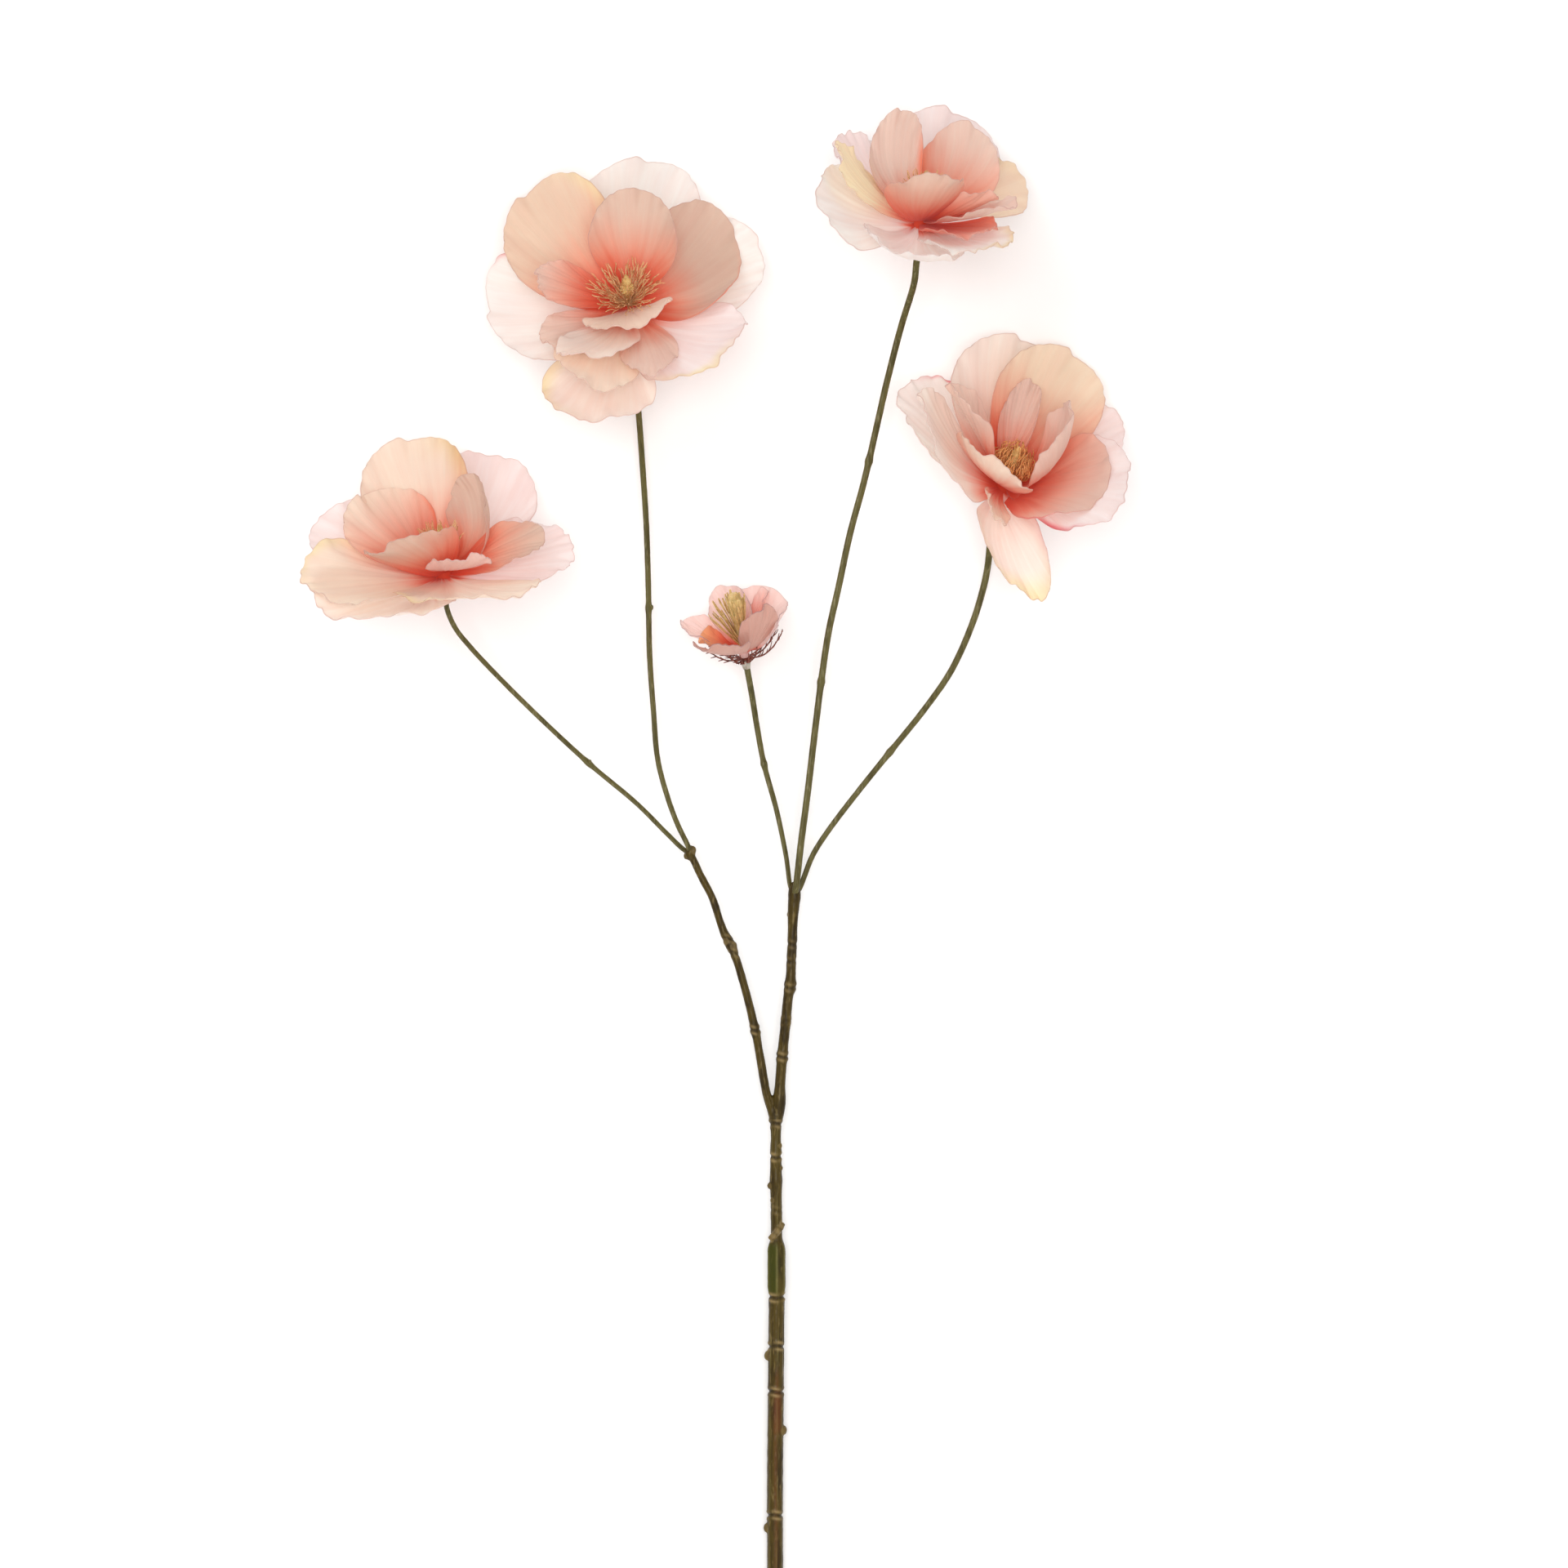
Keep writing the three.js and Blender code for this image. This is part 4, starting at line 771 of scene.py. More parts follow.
def evaluatedMesh(source):    # the plain mesh of a source with its modifiers, which is then dropped
    bpy.context.view_layer.update()
    depsgraph = bpy.context.evaluated_depsgraph_get()
    made = bpy.data.meshes.new_from_object(source.evaluated_get(depsgraph), depsgraph=depsgraph)
    source.modifiers.clear()
    bpy.data.objects.remove(source)
    return made


def grow(mesh, tree, values):    # runs a tree on a mesh, with the tree's inputs set by their names
    source = newObject("source", mesh)
    modifier = source.modifiers.new("tree", "NODES")
    modifier.node_group = tree
    for item in tree.interface.items_tree:
        if item.item_type == "SOCKET" and item.in_out == "INPUT" and item.name in values:
            modifier[item.identifier] = values[item.name]
    return evaluatedMesh(source)


# A smooth centripetal curve through the points, about one step long between samples
def smoothRoute(points, step=1.0):
    points = [Vector(p) for p in points]
    padded = [points[0] * 2 - points[1]] + points + [points[-1] * 2 - points[-2]]
    route = []
    for k in range(len(points) - 1):
        p = padded[k:k + 4]
        knots = [0.0]
        for a, b in zip(p, p[1:]):
            knots.append(knots[-1] + max((b - a).length, 1e-6) ** 0.5)
        pieces = max(2, math.ceil((p[2] - p[1]).length / step))
        for s in range(pieces):
            t = knots[1] + (knots[2] - knots[1]) * s / pieces
            level = p
            for spans in (((0, 1), (1, 2), (2, 3)), ((0, 2), (1, 3)), ((1, 2),)):
                level = [level[i].lerp(level[i + 1], (t - knots[start]) / (knots[end] - knots[start]))
                         for i, (start, end) in enumerate(spans)]
            route.append(level[0])
    return route + [points[-1]]


# Stem and stalks. A seat's profiles are rows of radius and height on the bloom's axis, and its ribs
# and flutes are how many and how deep, as a share of the radius.

seat = {"hubBottom": -4, "hubTop": 6.8, "receptacleLength": 6, "gap": 0.3, "buttonFoot": 1.0,
        "hub": [(0.6, -4), (3.0, -4), (3.6, -3.2), (3.6, 4.6), (3.2, 6.0), (2.4, 6.7), (0.6, 6.8)],
        "receptacle": [(1.2, -10.3), (2.0, -10.2), (2.3, -9.6), (2.6, -8.4), (3.4, -7.3), (4.1, -6.6),
                       (4.55, -5.7), (4.6, -5.1), (4.3, -4.35), (1.2, -4.3)],
        "ribs": (8, 0.035)}
smallSeat = {"hubBottom": -2.6, "hubTop": 3.2, "discLength": 0.9, "collarLength": 4.4, "gap": 0.3,
             "buttonFoot": 0.8,
             "hub": [(0.5, -2.6), (1.9, -2.6), (2.3, -2.1), (2.3, 2.0), (1.9, 2.9), (0.5, 3.2)],
             "disc": [(0.5, -3.8), (2.4, -3.7), (3.1, -3.2), (2.9, -2.9), (0.5, -2.9)],
             "collar": [(0.8, -8.5), (1.7, -8.4), (1.9, -7.3), (2.2, -6.0), (2.4, -4.6), (2.2, -4.1),
                        (0.8, -4.1)],
             "flutes": (6, 0.05)}

# A ring is its place along Y and its depth, a swell its place, height and spread, a knob its centre
# and radius, and a fork also how far it is drawn out along the stem. The fades are how long the
# sleeve's lower and upper ends are, and where the stem thins. A reddish stretch is its strength,
# where along Y it starts, is full and ends, and its angle, width and drift round the stem.
stem = {
    "mainFork": (25.7, -107, 13), "cutEndRadius": 3.6, "sleeveRadius": 4.1, "upperRadius": 2.6,
    "leftLimbRadius": (2, 1.6), "rightLimbRadius": (2.4, 2.1), "collarRadius": (1.4, 1.6),
    "forks": [((25.7, -107, 13), 3.2, 1.5), ((-12.5, 12, 20.5), 2.5, 1.4), ((34, -7, 20.2), 2.9, 2.2)],
    "sleeve": (-186, -160), "fades": (4, 7, 8), "sleeveRidges": (35, 88, 150),
    "sleeveRidgeHeight": 0.4, "greenFrom": (70, 105), "green": (0.2, 0.6),
    "reddish": [(0.6, (-250, -246, -230, -228), (72, 32)),
                (0.4, (-345, -300, -224, -215), (84, 15, 3))],
    "creases": (18, 62, 118, 158), "creaseDepth": 0.24,
    "grooveWidth": 0.75, "lipAway": 1.5, "lipShare": 0.55, "slant": 0.35,
    "knobStretch": 1.35, "skin": {"spacing": 0.5, "sides": 28, "bumpHeight": 0.45, "bumpSize": 4.5},
    "voxel": 0.36, "smoothing": 2,
    "rings": {"main": [(-285, 0.6), (-229.5, 0.6), (-209, 0.6), (-187, 0.6), (-148, 0.12), (-124, 0.4),
                       (-109, 0.3)],
              "left": [(-67, 0.35), (-33, 0.2), (-26.5, 0.2)],
              "right": [(-79, 0.35), (-63, 0.1), (-48, 0.25), (-36.3, 0.12), (-28.7, 0.15)]},
    "swells": {"main": [(-115, -0.35, 4), (-135, 0.3, 3)], "left": [(-67, 0.6, 2.2), (-28.5, 0.7, 4.2)],
               "right": [(-100, 0.6, 6), (-79, 0.5, 2.2), (-63, 0.3, 1.8), (-47.5, 0.65, 2.8),
                         (-8, 0.6, 9)]},
    # The sleeve and reddish tones are the stem's own; the sleeve edge and lip tones paint highlights,
    # the groove and crease tones paint shade.
    "stainsAndPaintedLight": {"sleeve": (56, 60, 14), "ridgeHighlight": (150, 144, 90), "reddish": (100, 54, 26),
               "glintLip": (158, 134, 90), "shadedGroove": (44, 33, 17), "shadedCrease": (38, 28, 11)},
    "route": [(25, -347, 3.5), (25.3, -309, 3.8), (25.3, -265, 5), (25.7, -228, 6.5), (26, -191, 8),
              (26, -171, 9), (26, -155, 9.8), (25.7, -129, 11.5), (25.7, -107, 13)],
    "leftLimb": [(26, -112, 12.6), (24, -104, 13.2), (21.3, -94.5, 14), (18.8, -80, 15),
                 (16.6, -68, 15.6), (12.2, -49.5, 17), (6.4, -31, 18), (2.4, -23, 18.6),
                 (-2.7, -8, 19.4), (-7.4, 1.2, 20), (-12.5, 12, 20.5)],
    "rightLimb": [(25.5, -112, 12.6), (27, -101.5, 13.5), (27.7, -90, 14.5), (28.6, -78, 15.5),
                  (30, -65, 16.5), (31.2, -52.5, 17.5), (32.1, -47.5, 18), (32.6, -36.5, 18.6),
                  (33, -28, 19.2), (33.3, -17.5, 19.8), (34, -7, 20.2)],
    "collar": [(23.2, -160.8, 11.4), (24.6, -159.2, 12.3), (26.4, -157.4, 12.2), (27.9, -155.4, 11.2),
               (28.4, -153.8, 10.4)],
    "knobs": [((21.7, -291, 4.2), 1.6), ((29, -247, 6), 1.7), ((22, -213.5, 7.2), 1.6),
              ((22.9, -137, 11.6), 1.1), ((28, -129, 12), 0.9), ((24, -143.5, 12.4), 0.9),
              ((27.6, -119, 13.2), 1.0), ((31.8, -15.5, 19.6), 1.2), ((6.9, -29.6, 18.6), 1.6),
              ((3.7, -27.4, 18.9), 1.4), ((-11.2, 13.2, 21.2), 1.5), ((-14.2, 10.6, 20.2), 1.2)],
}

# A stalk thickens from lower to upper. The approach is how far below its seat it turns in to the
# bloom's axis, and the plug is how far past the seat it runs.
stalkSkin = {"spacing": 0.9, "sides": 24, "bumpHeight": 0.22, "bumpSize": 3.5, "flutes": 3,
             "depth": 0.14}
stalkForm = {"plug": 1.5, "knobSwell": 0.4, "knobSpread": 1.6, "knobRadius": 0.75,
             "knobAside": (0.9, 0.4, 0.5), "knobStretch": 1.6}
stalks = {
    "a": {"lower": 1.15, "upper": 1.4, "knobs": [(-30.5, 121, 18)], "approach": (16, 8),
          "route": [(-12.8, 13.4, 22.4), (-14.4, 17, 23.2), (-18.1, 24.5, 22.5), (-22.7, 37, 21.5),
                    (-27, 53.5, 21), (-29, 76, 20), (-30.7, 100.5, 19), (-31.3, 130, 17.5),
                    (-32.3, 159, 15.5), (-34.3, 188.5, 12), (-36, 210, 9.5), (-38.5, 232, 10.5)]},
    "d": {"lower": 1.05, "upper": 1.15, "knobs": [(-58, 52, 19.5)], "approach": (4,),
          "route": [(-13.8, 12.2, 19.4), (-16.5, 14.2, 19.3), (-23.5, 21, 19.3), (-36, 33.5, 19.5),
                    (-58, 52, 19.5), (-80, 72.5, 21.5), (-98, 90.5, 27), (-109.5, 103, 33.5),
                    (-116, 111.5, 39.5)]},
    "e": {"lower": 1.0, "upper": 1.4, "knobs": [(20.3, 51.5, 21.1)], "approach": (16, 8),
          "route": [(33, -5.6, 19.7), (32, -3, 19.2), (30.3, 9.5, 19.2), (26, 30.5, 20),
                    (20.3, 51.5, 20.7), (17.2, 68, 20.2)]},
    "b": {"lower": 1.5, "upper": 1.45, "knobs": [(45.5, 88, 25.5), (66.5, 186, 30.3)],
          "approach": (16, 8),
          "route": [(34.2, -5.5, 21.8), (34.6, -3, 22.9), (36.8, 16.5, 23.2), (39.5, 37, 23.8),
                    (42, 58, 24.5), (43.5, 70.5, 25), (45.7, 88, 25.5), (49, 110, 26.5),
                    (53.3, 129.5, 27.5), (58.7, 154.5, 28.5), (64.5, 176, 29.5), (70.5, 202, 31),
                    (74.6, 220, 32), (81, 245, 35)]},
    "c": {"lower": 1.2, "upper": 1.6, "knobs": [(76.5, 57, 15.8)], "approach": (4,),
          "route": [(35, -5.5, 19.5), (36.5, -3, 19), (38.6, 2.5, 18.8), (42.3, 11.5, 18.4),
                    (49.4, 22.5, 17.8), (62, 39, 16.8), (76.5, 57, 15.6), (91.5, 75.5, 14),
                    (104, 93.5, 12.5), (113.3, 114, 10.5), (118.3, 130, 10), (120.3, 140, 11.5),
                    (121.2, 150, 14.8)]},
}


def rodMesh(routes, material, spacing, sides, bumpHeight, bumpSize, flutes=0, depth=0.0):
    points, edges, girths = [], [], []
    for route, radius in routes:
        first = len(points)
        points += [p + originShift for p in route]
        girths += [radius(i / (len(route) - 1), p) for i, p in enumerate(route)]
        edges += [(first + i, first + i + 1) for i in range(len(route) - 1)]
    mesh = meshFrom(points, edges)
    setMark(mesh, "girth", girths)
    return grow(mesh, mouldedRod, {
        "Spacing": spacing, "Sides": sides, "Bump Height": bumpHeight, "Bump Size": bumpSize,
        "Flutes": float(flutes), "Flute Depth": depth, "Material": material})


def tapered(start, end):
    return lambda share, point: start + (end - start) * share


def addBalls(mesh, balls, stretch):    # each ball is a centre and a radius
    with opened(mesh) as work:
        for centre, radius in balls:
            place = Matrix.Translation(Vector(centre) + originShift)
            place = place @ Matrix.Diagonal((1, stretch, 1, 1))
            bmesh.ops.create_icosphere(work, subdivisions=3, radius=radius, matrix=place)


def joined(first, second):
    with opened(first) as work:
        work.from_mesh(second)
    return first


# The parts of a moulding are merged into one skin, so that they run into each other smoothly
def mergedSkin(mesh, voxel, rounds, material):
    source = newObject("source", mesh)
    remesh = source.modifiers.new("remesh", "REMESH")
    remesh.mode = "VOXEL"
    remesh.voxel_size = voxel
    relax = source.modifiers.new("relax", "SMOOTH")
    relax.factor = 0.5
    relax.iterations = rounds
    made = evaluatedMesh(source)
    made.materials.clear()
    made.materials.append(material)
    return made


def swelling(side, point):
    return sum(height * bell(point.y - y, spread) for y, height, spread in stem["swells"][side])


def between(y, start, full, last, end):    # rises to 1 and falls again
    return blendStep(start, full, y) * (1 - blendStep(last, end, y))


def stemRadius(share, point):
    low, high = stem["sleeve"]
    lowEnd, highEnd, thinning = stem["fades"]
    sleeve = between(point.y, low, low + lowEnd, high - highEnd, high)
    thinner = blendStep(high - thinning, high, point.y)
    plain = stem["cutEndRadius"] + (stem["upperRadius"] - stem["cutEndRadius"]) * thinner
    return plain + (stem["sleeveRadius"] - plain) * sleeve + swelling("main", point)


def limbRadius(side):
    plain = tapered(*stem[side + "LimbRadius"])
    return lambda share, point: plain(share, point) + swelling(side, point)


# Ring grooves with raised lips, lengthwise creases, and the colours that go with them, painted shade
# and painted highlights among them
def markStem(mesh, lines):
    points, normals = np.zeros((2, len(mesh.vertices), 3))
    mesh.vertices.foreach_get("co", points.ravel())
    mesh.vertex_normals.foreach_get("vector", normals.ravel())
    unmoved = points - np.array(originShift)
    x, y, z = unmoved.T
    offsets = {}
    for side, line in lines.items():
        line = np.array([tuple(p) for p in line])
        offsets[side] = [here - np.interp(y, line[:, 1], line[:, way])
                         for here, way in ((x, 0), (z, 2))]
    nearLeft = np.hypot(*offsets["left"]) < np.hypot(*offsets["right"])
    isMain = y < stem["mainFork"][1]
    owner = {"main": isMain, "left": ~isMain & nearLeft, "right": ~isMain & ~nearLeft}
    angle, push = np.zeros((2, len(x)))    # round the stem, and how far the skin is pushed out
    for side, mine in owner.items():
        angle[mine] = np.degrees(np.arctan2(offsets[side][1], offsets[side][0]))[mine]
    stainAndPaintedLight = np.zeros((len(x), 4))

    def dab(name, share):    # lays a tone over the ones before it: a real stain, painted shade or a painted highlight
        share = np.clip(share, 0, 1)
        total = share + stainAndPaintedLight[:, 3] * (1 - share)
        for channel, value in enumerate(paint(*stem["stainsAndPaintedLight"][name])[:3]):
            under = stainAndPaintedLight[:, channel] * stainAndPaintedLight[:, 3] * (1 - share)
            stainAndPaintedLight[:, channel] = (value * share + under) / np.maximum(total, 1e-6)
        stainAndPaintedLight[:, 3] = total

    def band(centre, width, drift=0.0):    # a lengthwise band that wanders a little round the stem
        return bell(angleBetween(angle - centre, drift * np.sin(y / 13 + centre)), width)

    low, high = stem["sleeve"]
    sleeve = between(y, low - 1, low + 2, high - 5, high - 1)
    least, more = stem["green"]
    dab("sleeve", sleeve * (least + more * blendStep(*stem["greenFrom"], angle)))
    for strength, along, across in stem["reddish"]:
        dab("reddish", strength * between(y, *along) * band(*across))
    for centre in stem["creases"]:
        shadedCrease = band(centre, 6, 4) * (1 - sleeve) * (0.55 + 0.45 * np.sin(y / 9 + centre))
        push -= stem["creaseDepth"] * shadedCrease
        # The dark tone along each crease is painted shade.
        dab("shadedCrease", 0.5 * shadedCrease)
        edge = band(centre + 14, 5, 4) * (1 - sleeve) * isMain    # the crease's lit side
        # A painted highlight along the lit side of each crease.
        dab("ridgeHighlight", 0.16 * edge * (0.5 + 0.5 * np.sin(y / 5)))
    for centre in stem["sleeveRidges"]:
        ridge = band(centre, 7) * sleeve
        push += stem["sleeveRidgeHeight"] * ridge
        # A painted highlight along each ridge of the sleeve.
        dab("ridgeHighlight", 0.26 * ridge)
    for side, rings in stem["rings"].items():
        for at, depth in rings:
            away = y - at - stem["slant"] * np.sin(np.radians(2 * angle) + at)
            shadedGroove = bell(away, stem["grooveWidth"]) * owner[side]
            glintLip = bell(abs(away) - stem["lipAway"], stem["grooveWidth"]) * owner[side]
            glintLip *= 0.55 + 0.45 * np.sin(np.radians(3 * angle) + at)
            push += depth * (stem["lipShare"] * glintLip - shadedGroove)
            strength = min(1, depth / 0.4) * 0.6
            # On each lip the pale tone is a painted highlight, and in each groove the dark tone is
            # painted shade.
            dab("glintLip", strength * glintLip)
            dab("shadedGroove", strength * shadedGroove)
    # A painted highlight on and round each knob, in the lips' pale tone.
    for at, radius in stem["knobs"]:
        dab("glintLip", 0.2 * (np.linalg.norm(unmoved - np.array(at), axis=1) < radius * 1.5))
    # The collar is paled with the same tone.
    close = np.min([np.linalg.norm(unmoved - np.array(at), axis=1) for at in stem["collar"]], 0)
    dab("glintLip", 0.55 * (1 - blendStep(1.0, 2.4, close)))
    mesh.vertices.foreach_set("co", (points + normals * push[:, None]).ravel())
    setMark(mesh, "stainAndPaintedLight", stainAndPaintedLight)
    mesh.update()


def stemPiece():
    lines = {"main": smoothRoute(stem["route"], 0.5), "left": smoothRoute(stem["leftLimb"]),
             "right": smoothRoute(stem["rightLimb"])}
    routes = [(lines["main"], stemRadius), (lines["left"], limbRadius("left")),
              (lines["right"], limbRadius("right")),
              (smoothRoute(stem["collar"], 0.5), tapered(*stem["collarRadius"]))]
    mesh = rodMesh(routes, finishes["stemPlastic"], **stem["skin"])
    addBalls(mesh, stem["knobs"], stem["knobStretch"])
    for place, radius, stretch in stem["forks"]:
        addBalls(mesh, [(place, radius)], stretch)
    mesh = mergedSkin(mesh, stem["voxel"], stem["smoothing"], finishes["stemPlastic"])
    markStem(mesh, lines)
    deliver("mouldedStem", "", mesh, Matrix.Scale(mm, 4), "main_stem")


def stalkPiece(name, bloom, seatHeight):
    stalk = stalks[name]
    matrix = bloomFrame(bloom)
    ends = [matrix @ Vector((0, 0, seatHeight - back)) / mm - originShift
            for back in (*stalk["approach"], -stalkForm["plug"])]
    route = smoothRoute([Vector(p) for p in stalk["route"]] + ends)
    plain = tapered(stalk["lower"], stalk["upper"])

    def radius(share, point):
        knob = max(bell(point.y - Vector(at).y, stalkForm["knobSpread"]) for at in stalk["knobs"])
        return plain(share, point) + stalkForm["knobSwell"] * knob

    mesh = rodMesh([(route, radius)], finishes["stalkPlastic"], **stalkSkin)
    aside = Vector(stalkForm["knobAside"])
    knobs = [(Vector(at) + aside, stalkForm["knobRadius"]) for at in stalk["knobs"]]
    addBalls(mesh, knobs, stalkForm["knobStretch"])
    deliver("stalk", name, mesh, Matrix.Scale(mm, 4))


stemPiece()
print("stem ready")
openBlooms = {"a": bloomA, "b": bloomB, "c": bloomC, "d": bloomD}
for name, bloom in openBlooms.items():
    stalkPiece(name, bloom, seat["hubBottom"] - seat["gap"] - seat["receptacleLength"])
    receptacle = turnedMesh(seat["receptacle"], 64, ribbed(*seat["ribs"]),
                            finishes["receptaclePlastic"])
    deliver("receptacle", name, receptacle, bloomFrame(bloom))
    petals = petalsMesh(bloom, seat["hub"], finishes["petalFabric"])
    deliver("petals", name, petals, bloomFrame(bloom))
print("open blooms ready")


# Centres. A profile is rows of radius and height, and the other values are a tree's inputs.

plainTuft = {"Foot Radius": 2.6, "Shortest": 12.0, "Inner Lean": 0.1, "Curl Size": 6.0, "Girth": 0.27}
tufts = {
    "a": {"Count": 130, "Foot Radius": 2.8, "Longest": 19.5, "Inner Lean": 0.12, "Outer Lean": 0.9,
          "Lean Spread": 0.3, "Curl": 7.0, "Seed": 3},
    "b": {"Count": 90, "Longest": 17.5, "Outer Lean": 0.5, "Lean Spread": 0.25, "Curl": 4.0,
          "Girth": 0.25, "Seed": 4},
    "c": {"Count": 220, "Foot Radius": 3.4, "Shortest": 14.0, "Longest": 20.0, "Outer Lean": 1.05,
          "Lean Spread": 0.2, "Curl": 5.0, "Curl Size": 4.0, "Close": 0.5, "Seed": 5},
    "d": {"Count": 90, "Shortest": 13.0, "Longest": 18.5, "Outer Lean": 0.5, "Lean Spread": 0.25,
          "Curl": 4.0, "Girth": 0.25, "Seed": 6},
}
pistil = {"Count": 52, "Bottom": 0.3, "Top": 0.66, "Height": 17.0, "Widest": 2.7, "Knob Radius": 0.5,
          "profile": [(0.8, 0), (0.9, 4.4), (1.8, 5.9), (2.4, 7.1), (2.7, 8.2), (2.6, 9.2), (2.0, 10.5),
                      (1.8, 11.1), (2.1, 12.2), (2.2, 12.9), (1.8, 13.9), (1.2, 14.8), (0.9, 16.2),
                      (0.5, 17)]}
goldenTuft = {"Count": 60, "Foot Radius": 2.0, "Shortest": 14.0, "Longest": 23.0, "Inner Lean": 0.0,
              "Outer Lean": 0.34, "Lean Spread": 0.12, "Curl": 2.0, "Curl Size": 9.0, "Girth": 0.65,
              "Flatness": 0.45, "Sway": (0.03, -0.3, 0.0), "Seed": 11}
goldenClub = {"Count": 30, "Foot Radius": 1.3, "Shortest": 20.0, "Longest": 25.0, "Inner Lean": 0.02,
              "Outer Lean": 0.17, "Lean Spread": 0.04, "Curl": 1.2, "Curl Size": 9.0, "Girth": 0.85,
              "Flatness": 0.5, "Seed": 19, "pleats": 9, "pleatHeight": 0.07, "smoothFoot": 10,
              "profile": [(0.8, 0), (1.2, 6.2), (2.1, 10.5), (2.9, 14.4), (3.4, 19.2), (3.0, 22.6),
                          (2.0, 23.9)]}
button = [(0.4, -0.9), (2.0, -0.9), (2.1, -0.2), (1.4, 0.3), (0.3, 0.5)]


def tuftMesh(look, material, core, wobble=None):    # filaments round a turned core
    tuft = grow(meshFrom([(0, 0, 0)]), filamentTuft, {**look, "Material": finishes[material]})
    return joined(tuft, turnedMesh(core, 36, wobble))


def standing(bloom, height):    # the place at a height on the bloom's axis
    return bloomFrame(bloom) @ Matrix.Translation((0, 0, height))


outline = [(height / pistil["Height"], radius / pistil["Widest"])
           for radius, height in pistil["profile"]]
spiralKnobs = knobTree(outline)
top = seat["hubTop"] + seat["gap"] + seat["buttonFoot"]
for name, bloom in openBlooms.items():
    threads = "denseFilamentPlastic" if name == "c" else "filamentPlastic"
    stamens = tuftMesh({**plainTuft, **tufts[name]}, threads, button)
    deliver("stamens", name, stamens, standing(bloom, top))
    inputs = {**pistil, "Material": finishes["pistilPlastic"]}
    head = grow(turnedMesh(pistil["profile"], 32), spiralKnobs, inputs)
    deliver("pistil", name, head, standing(bloom, top + seat["gap"]))
print("centres ready")


# The small flower. The front share is how long the bracts that face the viewer are. A twig's shape
# is how far out, aside and up its points are, as shares of its reach.

bracts = {"count": 14, "first": 36, "unevenTurn": 8, "length": (13, 17), "discRadius": 3.1, "sag": 1.2,
          "bow": 0.1, "girth": (0.4, 0.2), "leastRise": 2.5, "rise": 8.5, "leftShare": 0.65,
          "frontRise": 3.5, "frontShare": 0.4, "twigs": 8, "twigLength": (3.5, 6),
          "twigGirth": (0.3, 0.16), "twigShape": ((0, 0, 0), (0.3, 0.22, 0.35), (0.55, 0.5, 1)),
          "twigShrink": (1.1, 0.45), "twigsAlong": (0.2, 0.78), "unevenTwig": 0.03,
          "climb": (0.15, 0.75), "rootInset": 0.6, "frontFrom": 0.3, "ribPieces": 6, "seed": 31,
          "skin": {"spacing": 0.6, "sides": 6, "bumpHeight": 0.12, "bumpSize": 1.5}}


# Ribs that spread under the petals and rise beside them, most on the right, with side twigs
def bractRoutes(bloom):
    chance = random.Random(bracts["seed"])
    matrix = bloomFrame(bloom)
    middle = smallSeat["hubBottom"] - smallSeat["gap"] - smallSeat["discLength"] / 2
    routes = []

    def at(out, sideways, up):
        local = Vector((out * math.cos(angle) - sideways * math.sin(angle),
                        out * math.sin(angle) + sideways * math.cos(angle), up))
        return matrix @ local / mm - originShift

    def spine(t):
        up = middle - bracts["sag"] * math.sin(math.pi * t) + rise * t * t
        return bracts["discRadius"] - bracts["rootInset"] + length * t, bow * length * t * t, up

    for i in range(bracts["count"]):
        uneven = chance.uniform(-bracts["unevenTurn"], bracts["unevenTurn"])
        angle = math.radians(bracts["first"] + 360 * i / bracts["count"] + uneven)
        share = bracts["frontShare"] if math.cos(angle) > bracts["frontFrom"] else 1
        length = chance.uniform(*bracts["length"]) * share
        bow = chance.uniform(-bracts["bow"], bracts["bow"])
        aside = max(0, math.sin(angle), -bracts["leftShare"] * math.sin(angle))
        rise = bracts["leastRise"] + max(bracts["rise"] * aside, bracts["frontRise"] * math.cos(angle))
        climb = bracts["climb"][0] + bracts["climb"][1] * max(0, math.sin(angle))
        pieces = bracts["ribPieces"]
        rib = smoothRoute([at(*spine(k / pieces)) for k in range(pieces + 1)], 0.6)
        routes.append((rib, tapered(*bracts["girth"])))
        for n in range(bracts["twigs"]):
            first, span = bracts["twigsAlong"]
            uneven = chance.uniform(-bracts["unevenTwig"], bracts["unevenTwig"])
            start = first + span * n / bracts["twigs"] + uneven
            out, sideways, up = spine(start)
            hand = 1 if n % 2 else -1
            most, less = bracts["twigShrink"]
            reach = chance.uniform(*bracts["twigLength"]) * (most - less * start) * share
            twig = [at(out + a * reach, sideways + hand * b * reach, up + c * climb * reach)
                    for a, b, c in bracts["twigShape"]]
            routes.append((smoothRoute(twig, 0.6), tapered(*bracts["twigGirth"])))
    return routes


def clubPleats(angle, height):
    deep = goldenClub["pleatHeight"] * math.cos(goldenClub["pleats"] * angle)
    return deep * min(1, height / goldenClub["smoothFoot"])


stalkPiece("e", smallFlower, smallSeat["hubBottom"] - smallSeat["discLength"]
           - smallSeat["collarLength"] - 2 * smallSeat["gap"])
place = bloomFrame(smallFlower)
collar = turnedMesh(smallSeat["collar"], 48, ribbed(*smallSeat["flutes"]), finishes["collarPlastic"])
deliver("collar", "e", collar, place)
ribs = rodMesh(bractRoutes(smallFlower), finishes["bractPlastic"], **bracts["skin"])
disc = turnedMesh(smallSeat["disc"], 32)
disc.transform(Matrix.Scale(1 / mm, 4) @ place)
deliver("bracts", "e", joined(ribs, disc), Matrix.Scale(mm, 4))
petals = petalsMesh(smallFlower, smallSeat["hub"], finishes["smallFlowerFabric"])
deliver("petals", "e", petals, place)
top = smallSeat["hubTop"] + smallSeat["gap"] + smallSeat["buttonFoot"]
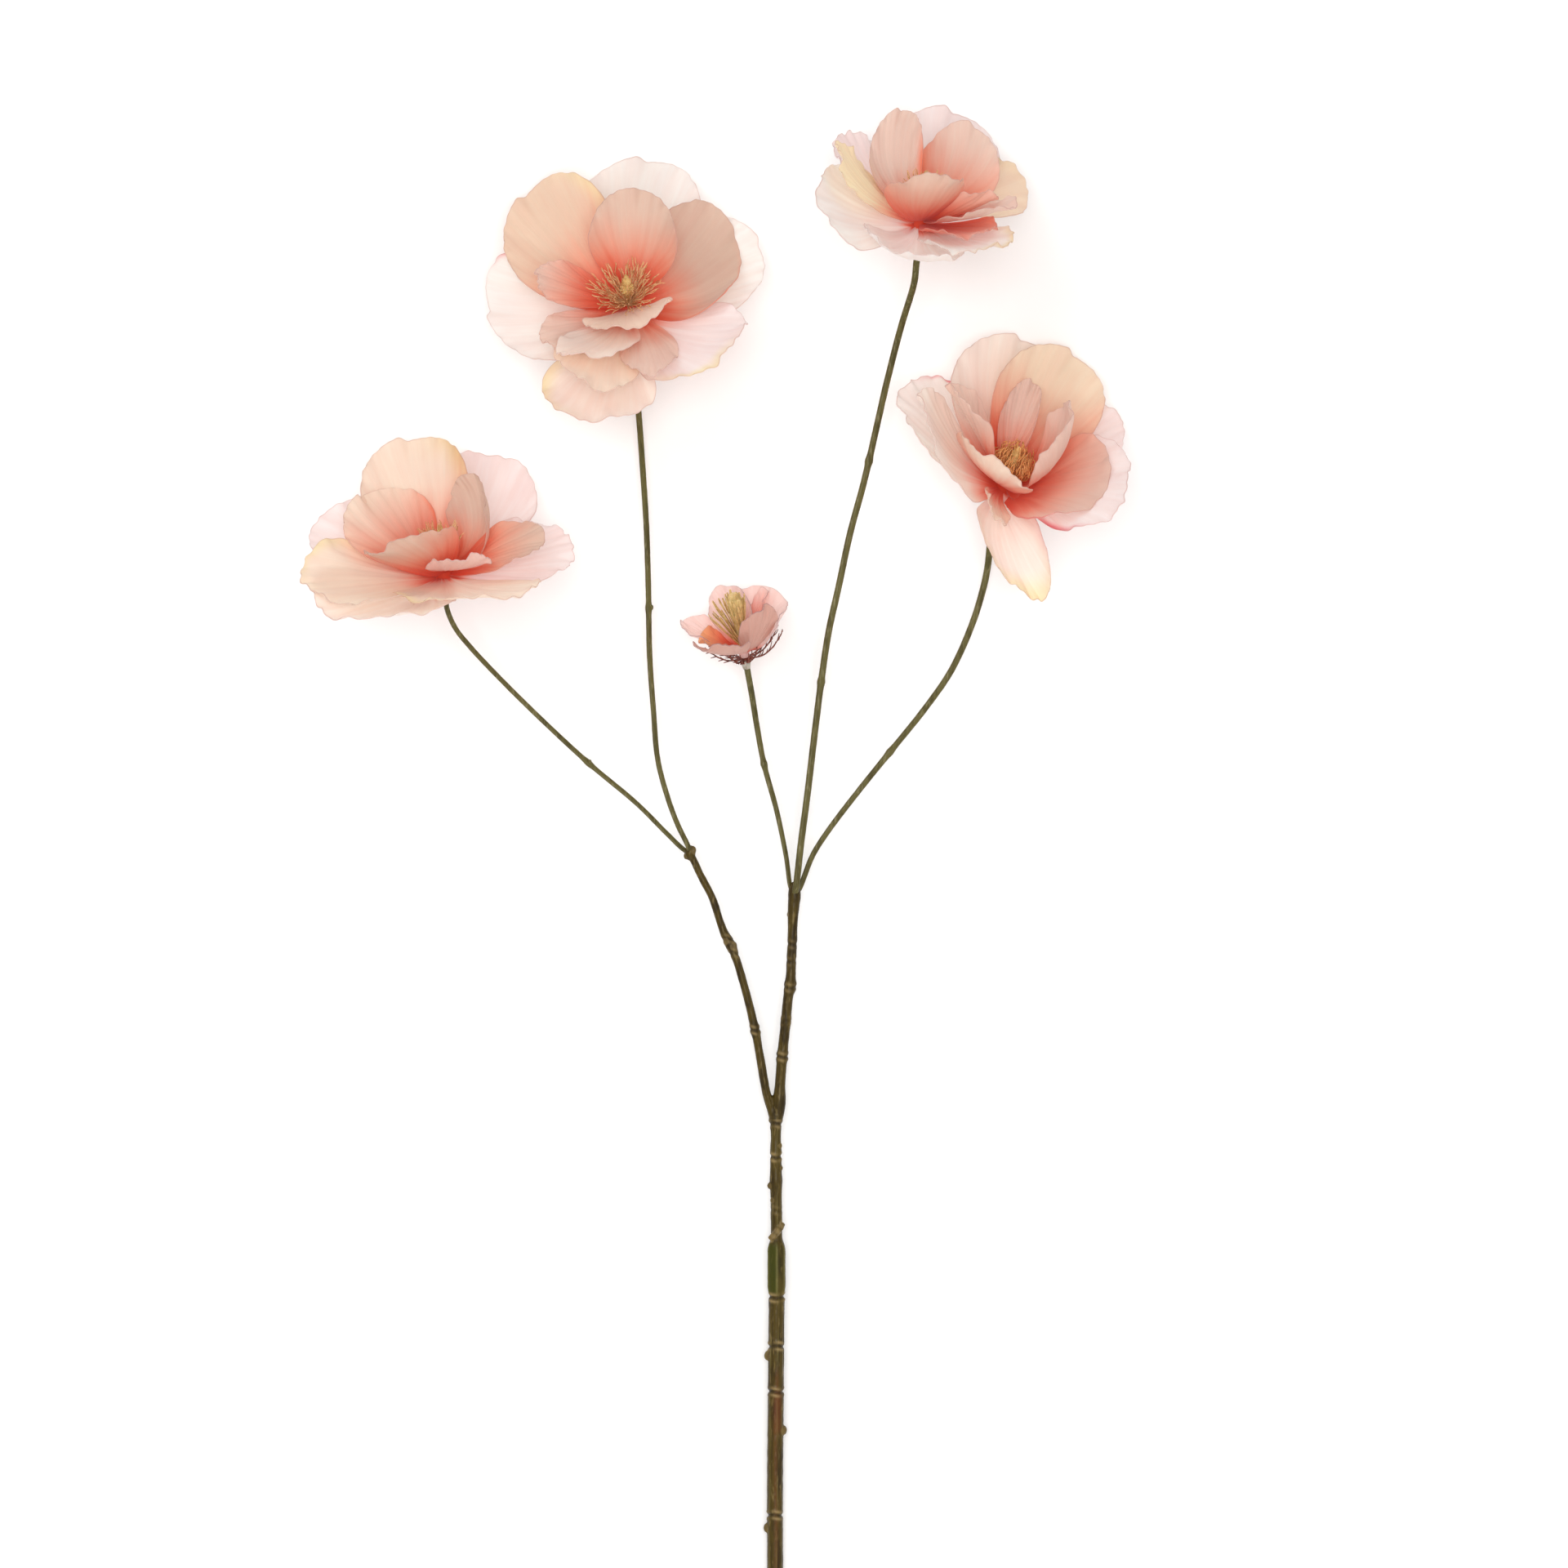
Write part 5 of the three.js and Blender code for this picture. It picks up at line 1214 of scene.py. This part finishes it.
stamens = tuftMesh(goldenTuft, "goldenPlastic", button)
deliver("stamens", "e", stamens, standing(smallFlower, top))
club = tuftMesh(goldenClub, "goldenPlastic", goldenClub["profile"], clubPleats)
deliver("pistil", "e", club, standing(smallFlower, top + smallSeat["gap"]))
print("small flower ready")


# Surface, light and camera. The lights' and the camera's places are in metres in the shared frame,
# and the camera's offset and height are in the millimetres used above.

studio = {"floor": paint(250, 249, 248), "floorHalf": 3, "floorGap": 0.0003,
          "mottle": (0.3, 0.7, 0.985, 1.0), "sky": paint(255, 254, 253), "skyStrength": 0.64}
lights = {
    "keyLight": {"power": 7.0, "size": 1.4, "place": (-0.9, 0.9, 1.6), "aim": (0, 0.05, 0)},
    "frontLight": {"power": 28.0, "size": 1.2, "place": (0.03, 0.04, 2.6), "aim": (0.03, 0.04, 0)},
    "lowLight": {"power": 8.0, "size": 1.2, "place": (0.1, -1.5, 1.0), "aim": (0, 0.1, 0)},
    "fillLight": {"power": 2.5, "size": 1.6, "place": (1.2, -0.4, 1.3), "aim": (0, 0.05, 0)},
}
view = {"lens": 120, "sensor": 36, "place": (29.34, 42.66), "height": 2304, "plane": 45}

side = studio["floorHalf"]
corners = [(-side, -side, 0), (side, -side, 0), (side, side, 0), (-side, side, 0)]
floor = newObject("floor", meshFrom(corners, faces=[(0, 1, 2, 3)]))
floorMaterial, tree = emptyMaterial("paleFloor")
coords = addNode(tree, "ShaderNodeTexCoord")
mottle = ramped(tree, noise(tree, coords.outputs["Object"], 6.0, 3.0), *studio["mottle"])
floorColour = mixColour(tree, 1.0, studio["floor"], tone(tree, mottle, mottle, mottle), "MULTIPLY")
matt = addNode(tree, "ShaderNodeBsdfPrincipled", {"Base Color": floorColour, "Roughness": 0.9})
addNode(tree, "ShaderNodeOutputMaterial", {"Surface": matt})
floor.data.materials.append(floorMaterial)
floor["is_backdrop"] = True
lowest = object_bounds()[0][2]
floor.location.z = min(lowest, 0) - studio["floorGap"]

scene = bpy.context.scene
scene.world = bpy.data.worlds.new("studio")
scene.world.use_nodes = True
background = scene.world.node_tree.nodes["Background"]
background.inputs["Color"].default_value = studio["sky"]
background.inputs["Strength"].default_value = studio["skyStrength"]

for name, look in lights.items():
    lamp = newObject(name, bpy.data.lights.new(name, "AREA"))
    lamp.data.shape = "DISK"
    lamp.data.size = look["size"]
    lamp.data.energy = look["power"]
    lamp.location = look["place"]
    aim = Vector(look["aim"]) - Vector(look["place"])
    lamp.rotation_euler = aim.to_track_quat("-Z", "Y").to_euler()

camera = newObject("camera", bpy.data.cameras.new("camera"))
camera.data.lens = view["lens"]
camera.data.sensor_width = view["sensor"]
camera.data.clip_end = 20
above = Vector((*view["place"], view["plane"] + view["height"]))
camera.location = (above + Vector((originShift.x, originShift.y, 0))) * mm
scene.camera = camera
scene.view_settings.view_transform = "Standard"
scene.cycles.max_bounces = 16
scene.cycles.diffuse_bounces = 8
scene.cycles.transmission_bounces = 8
print("studio ready")
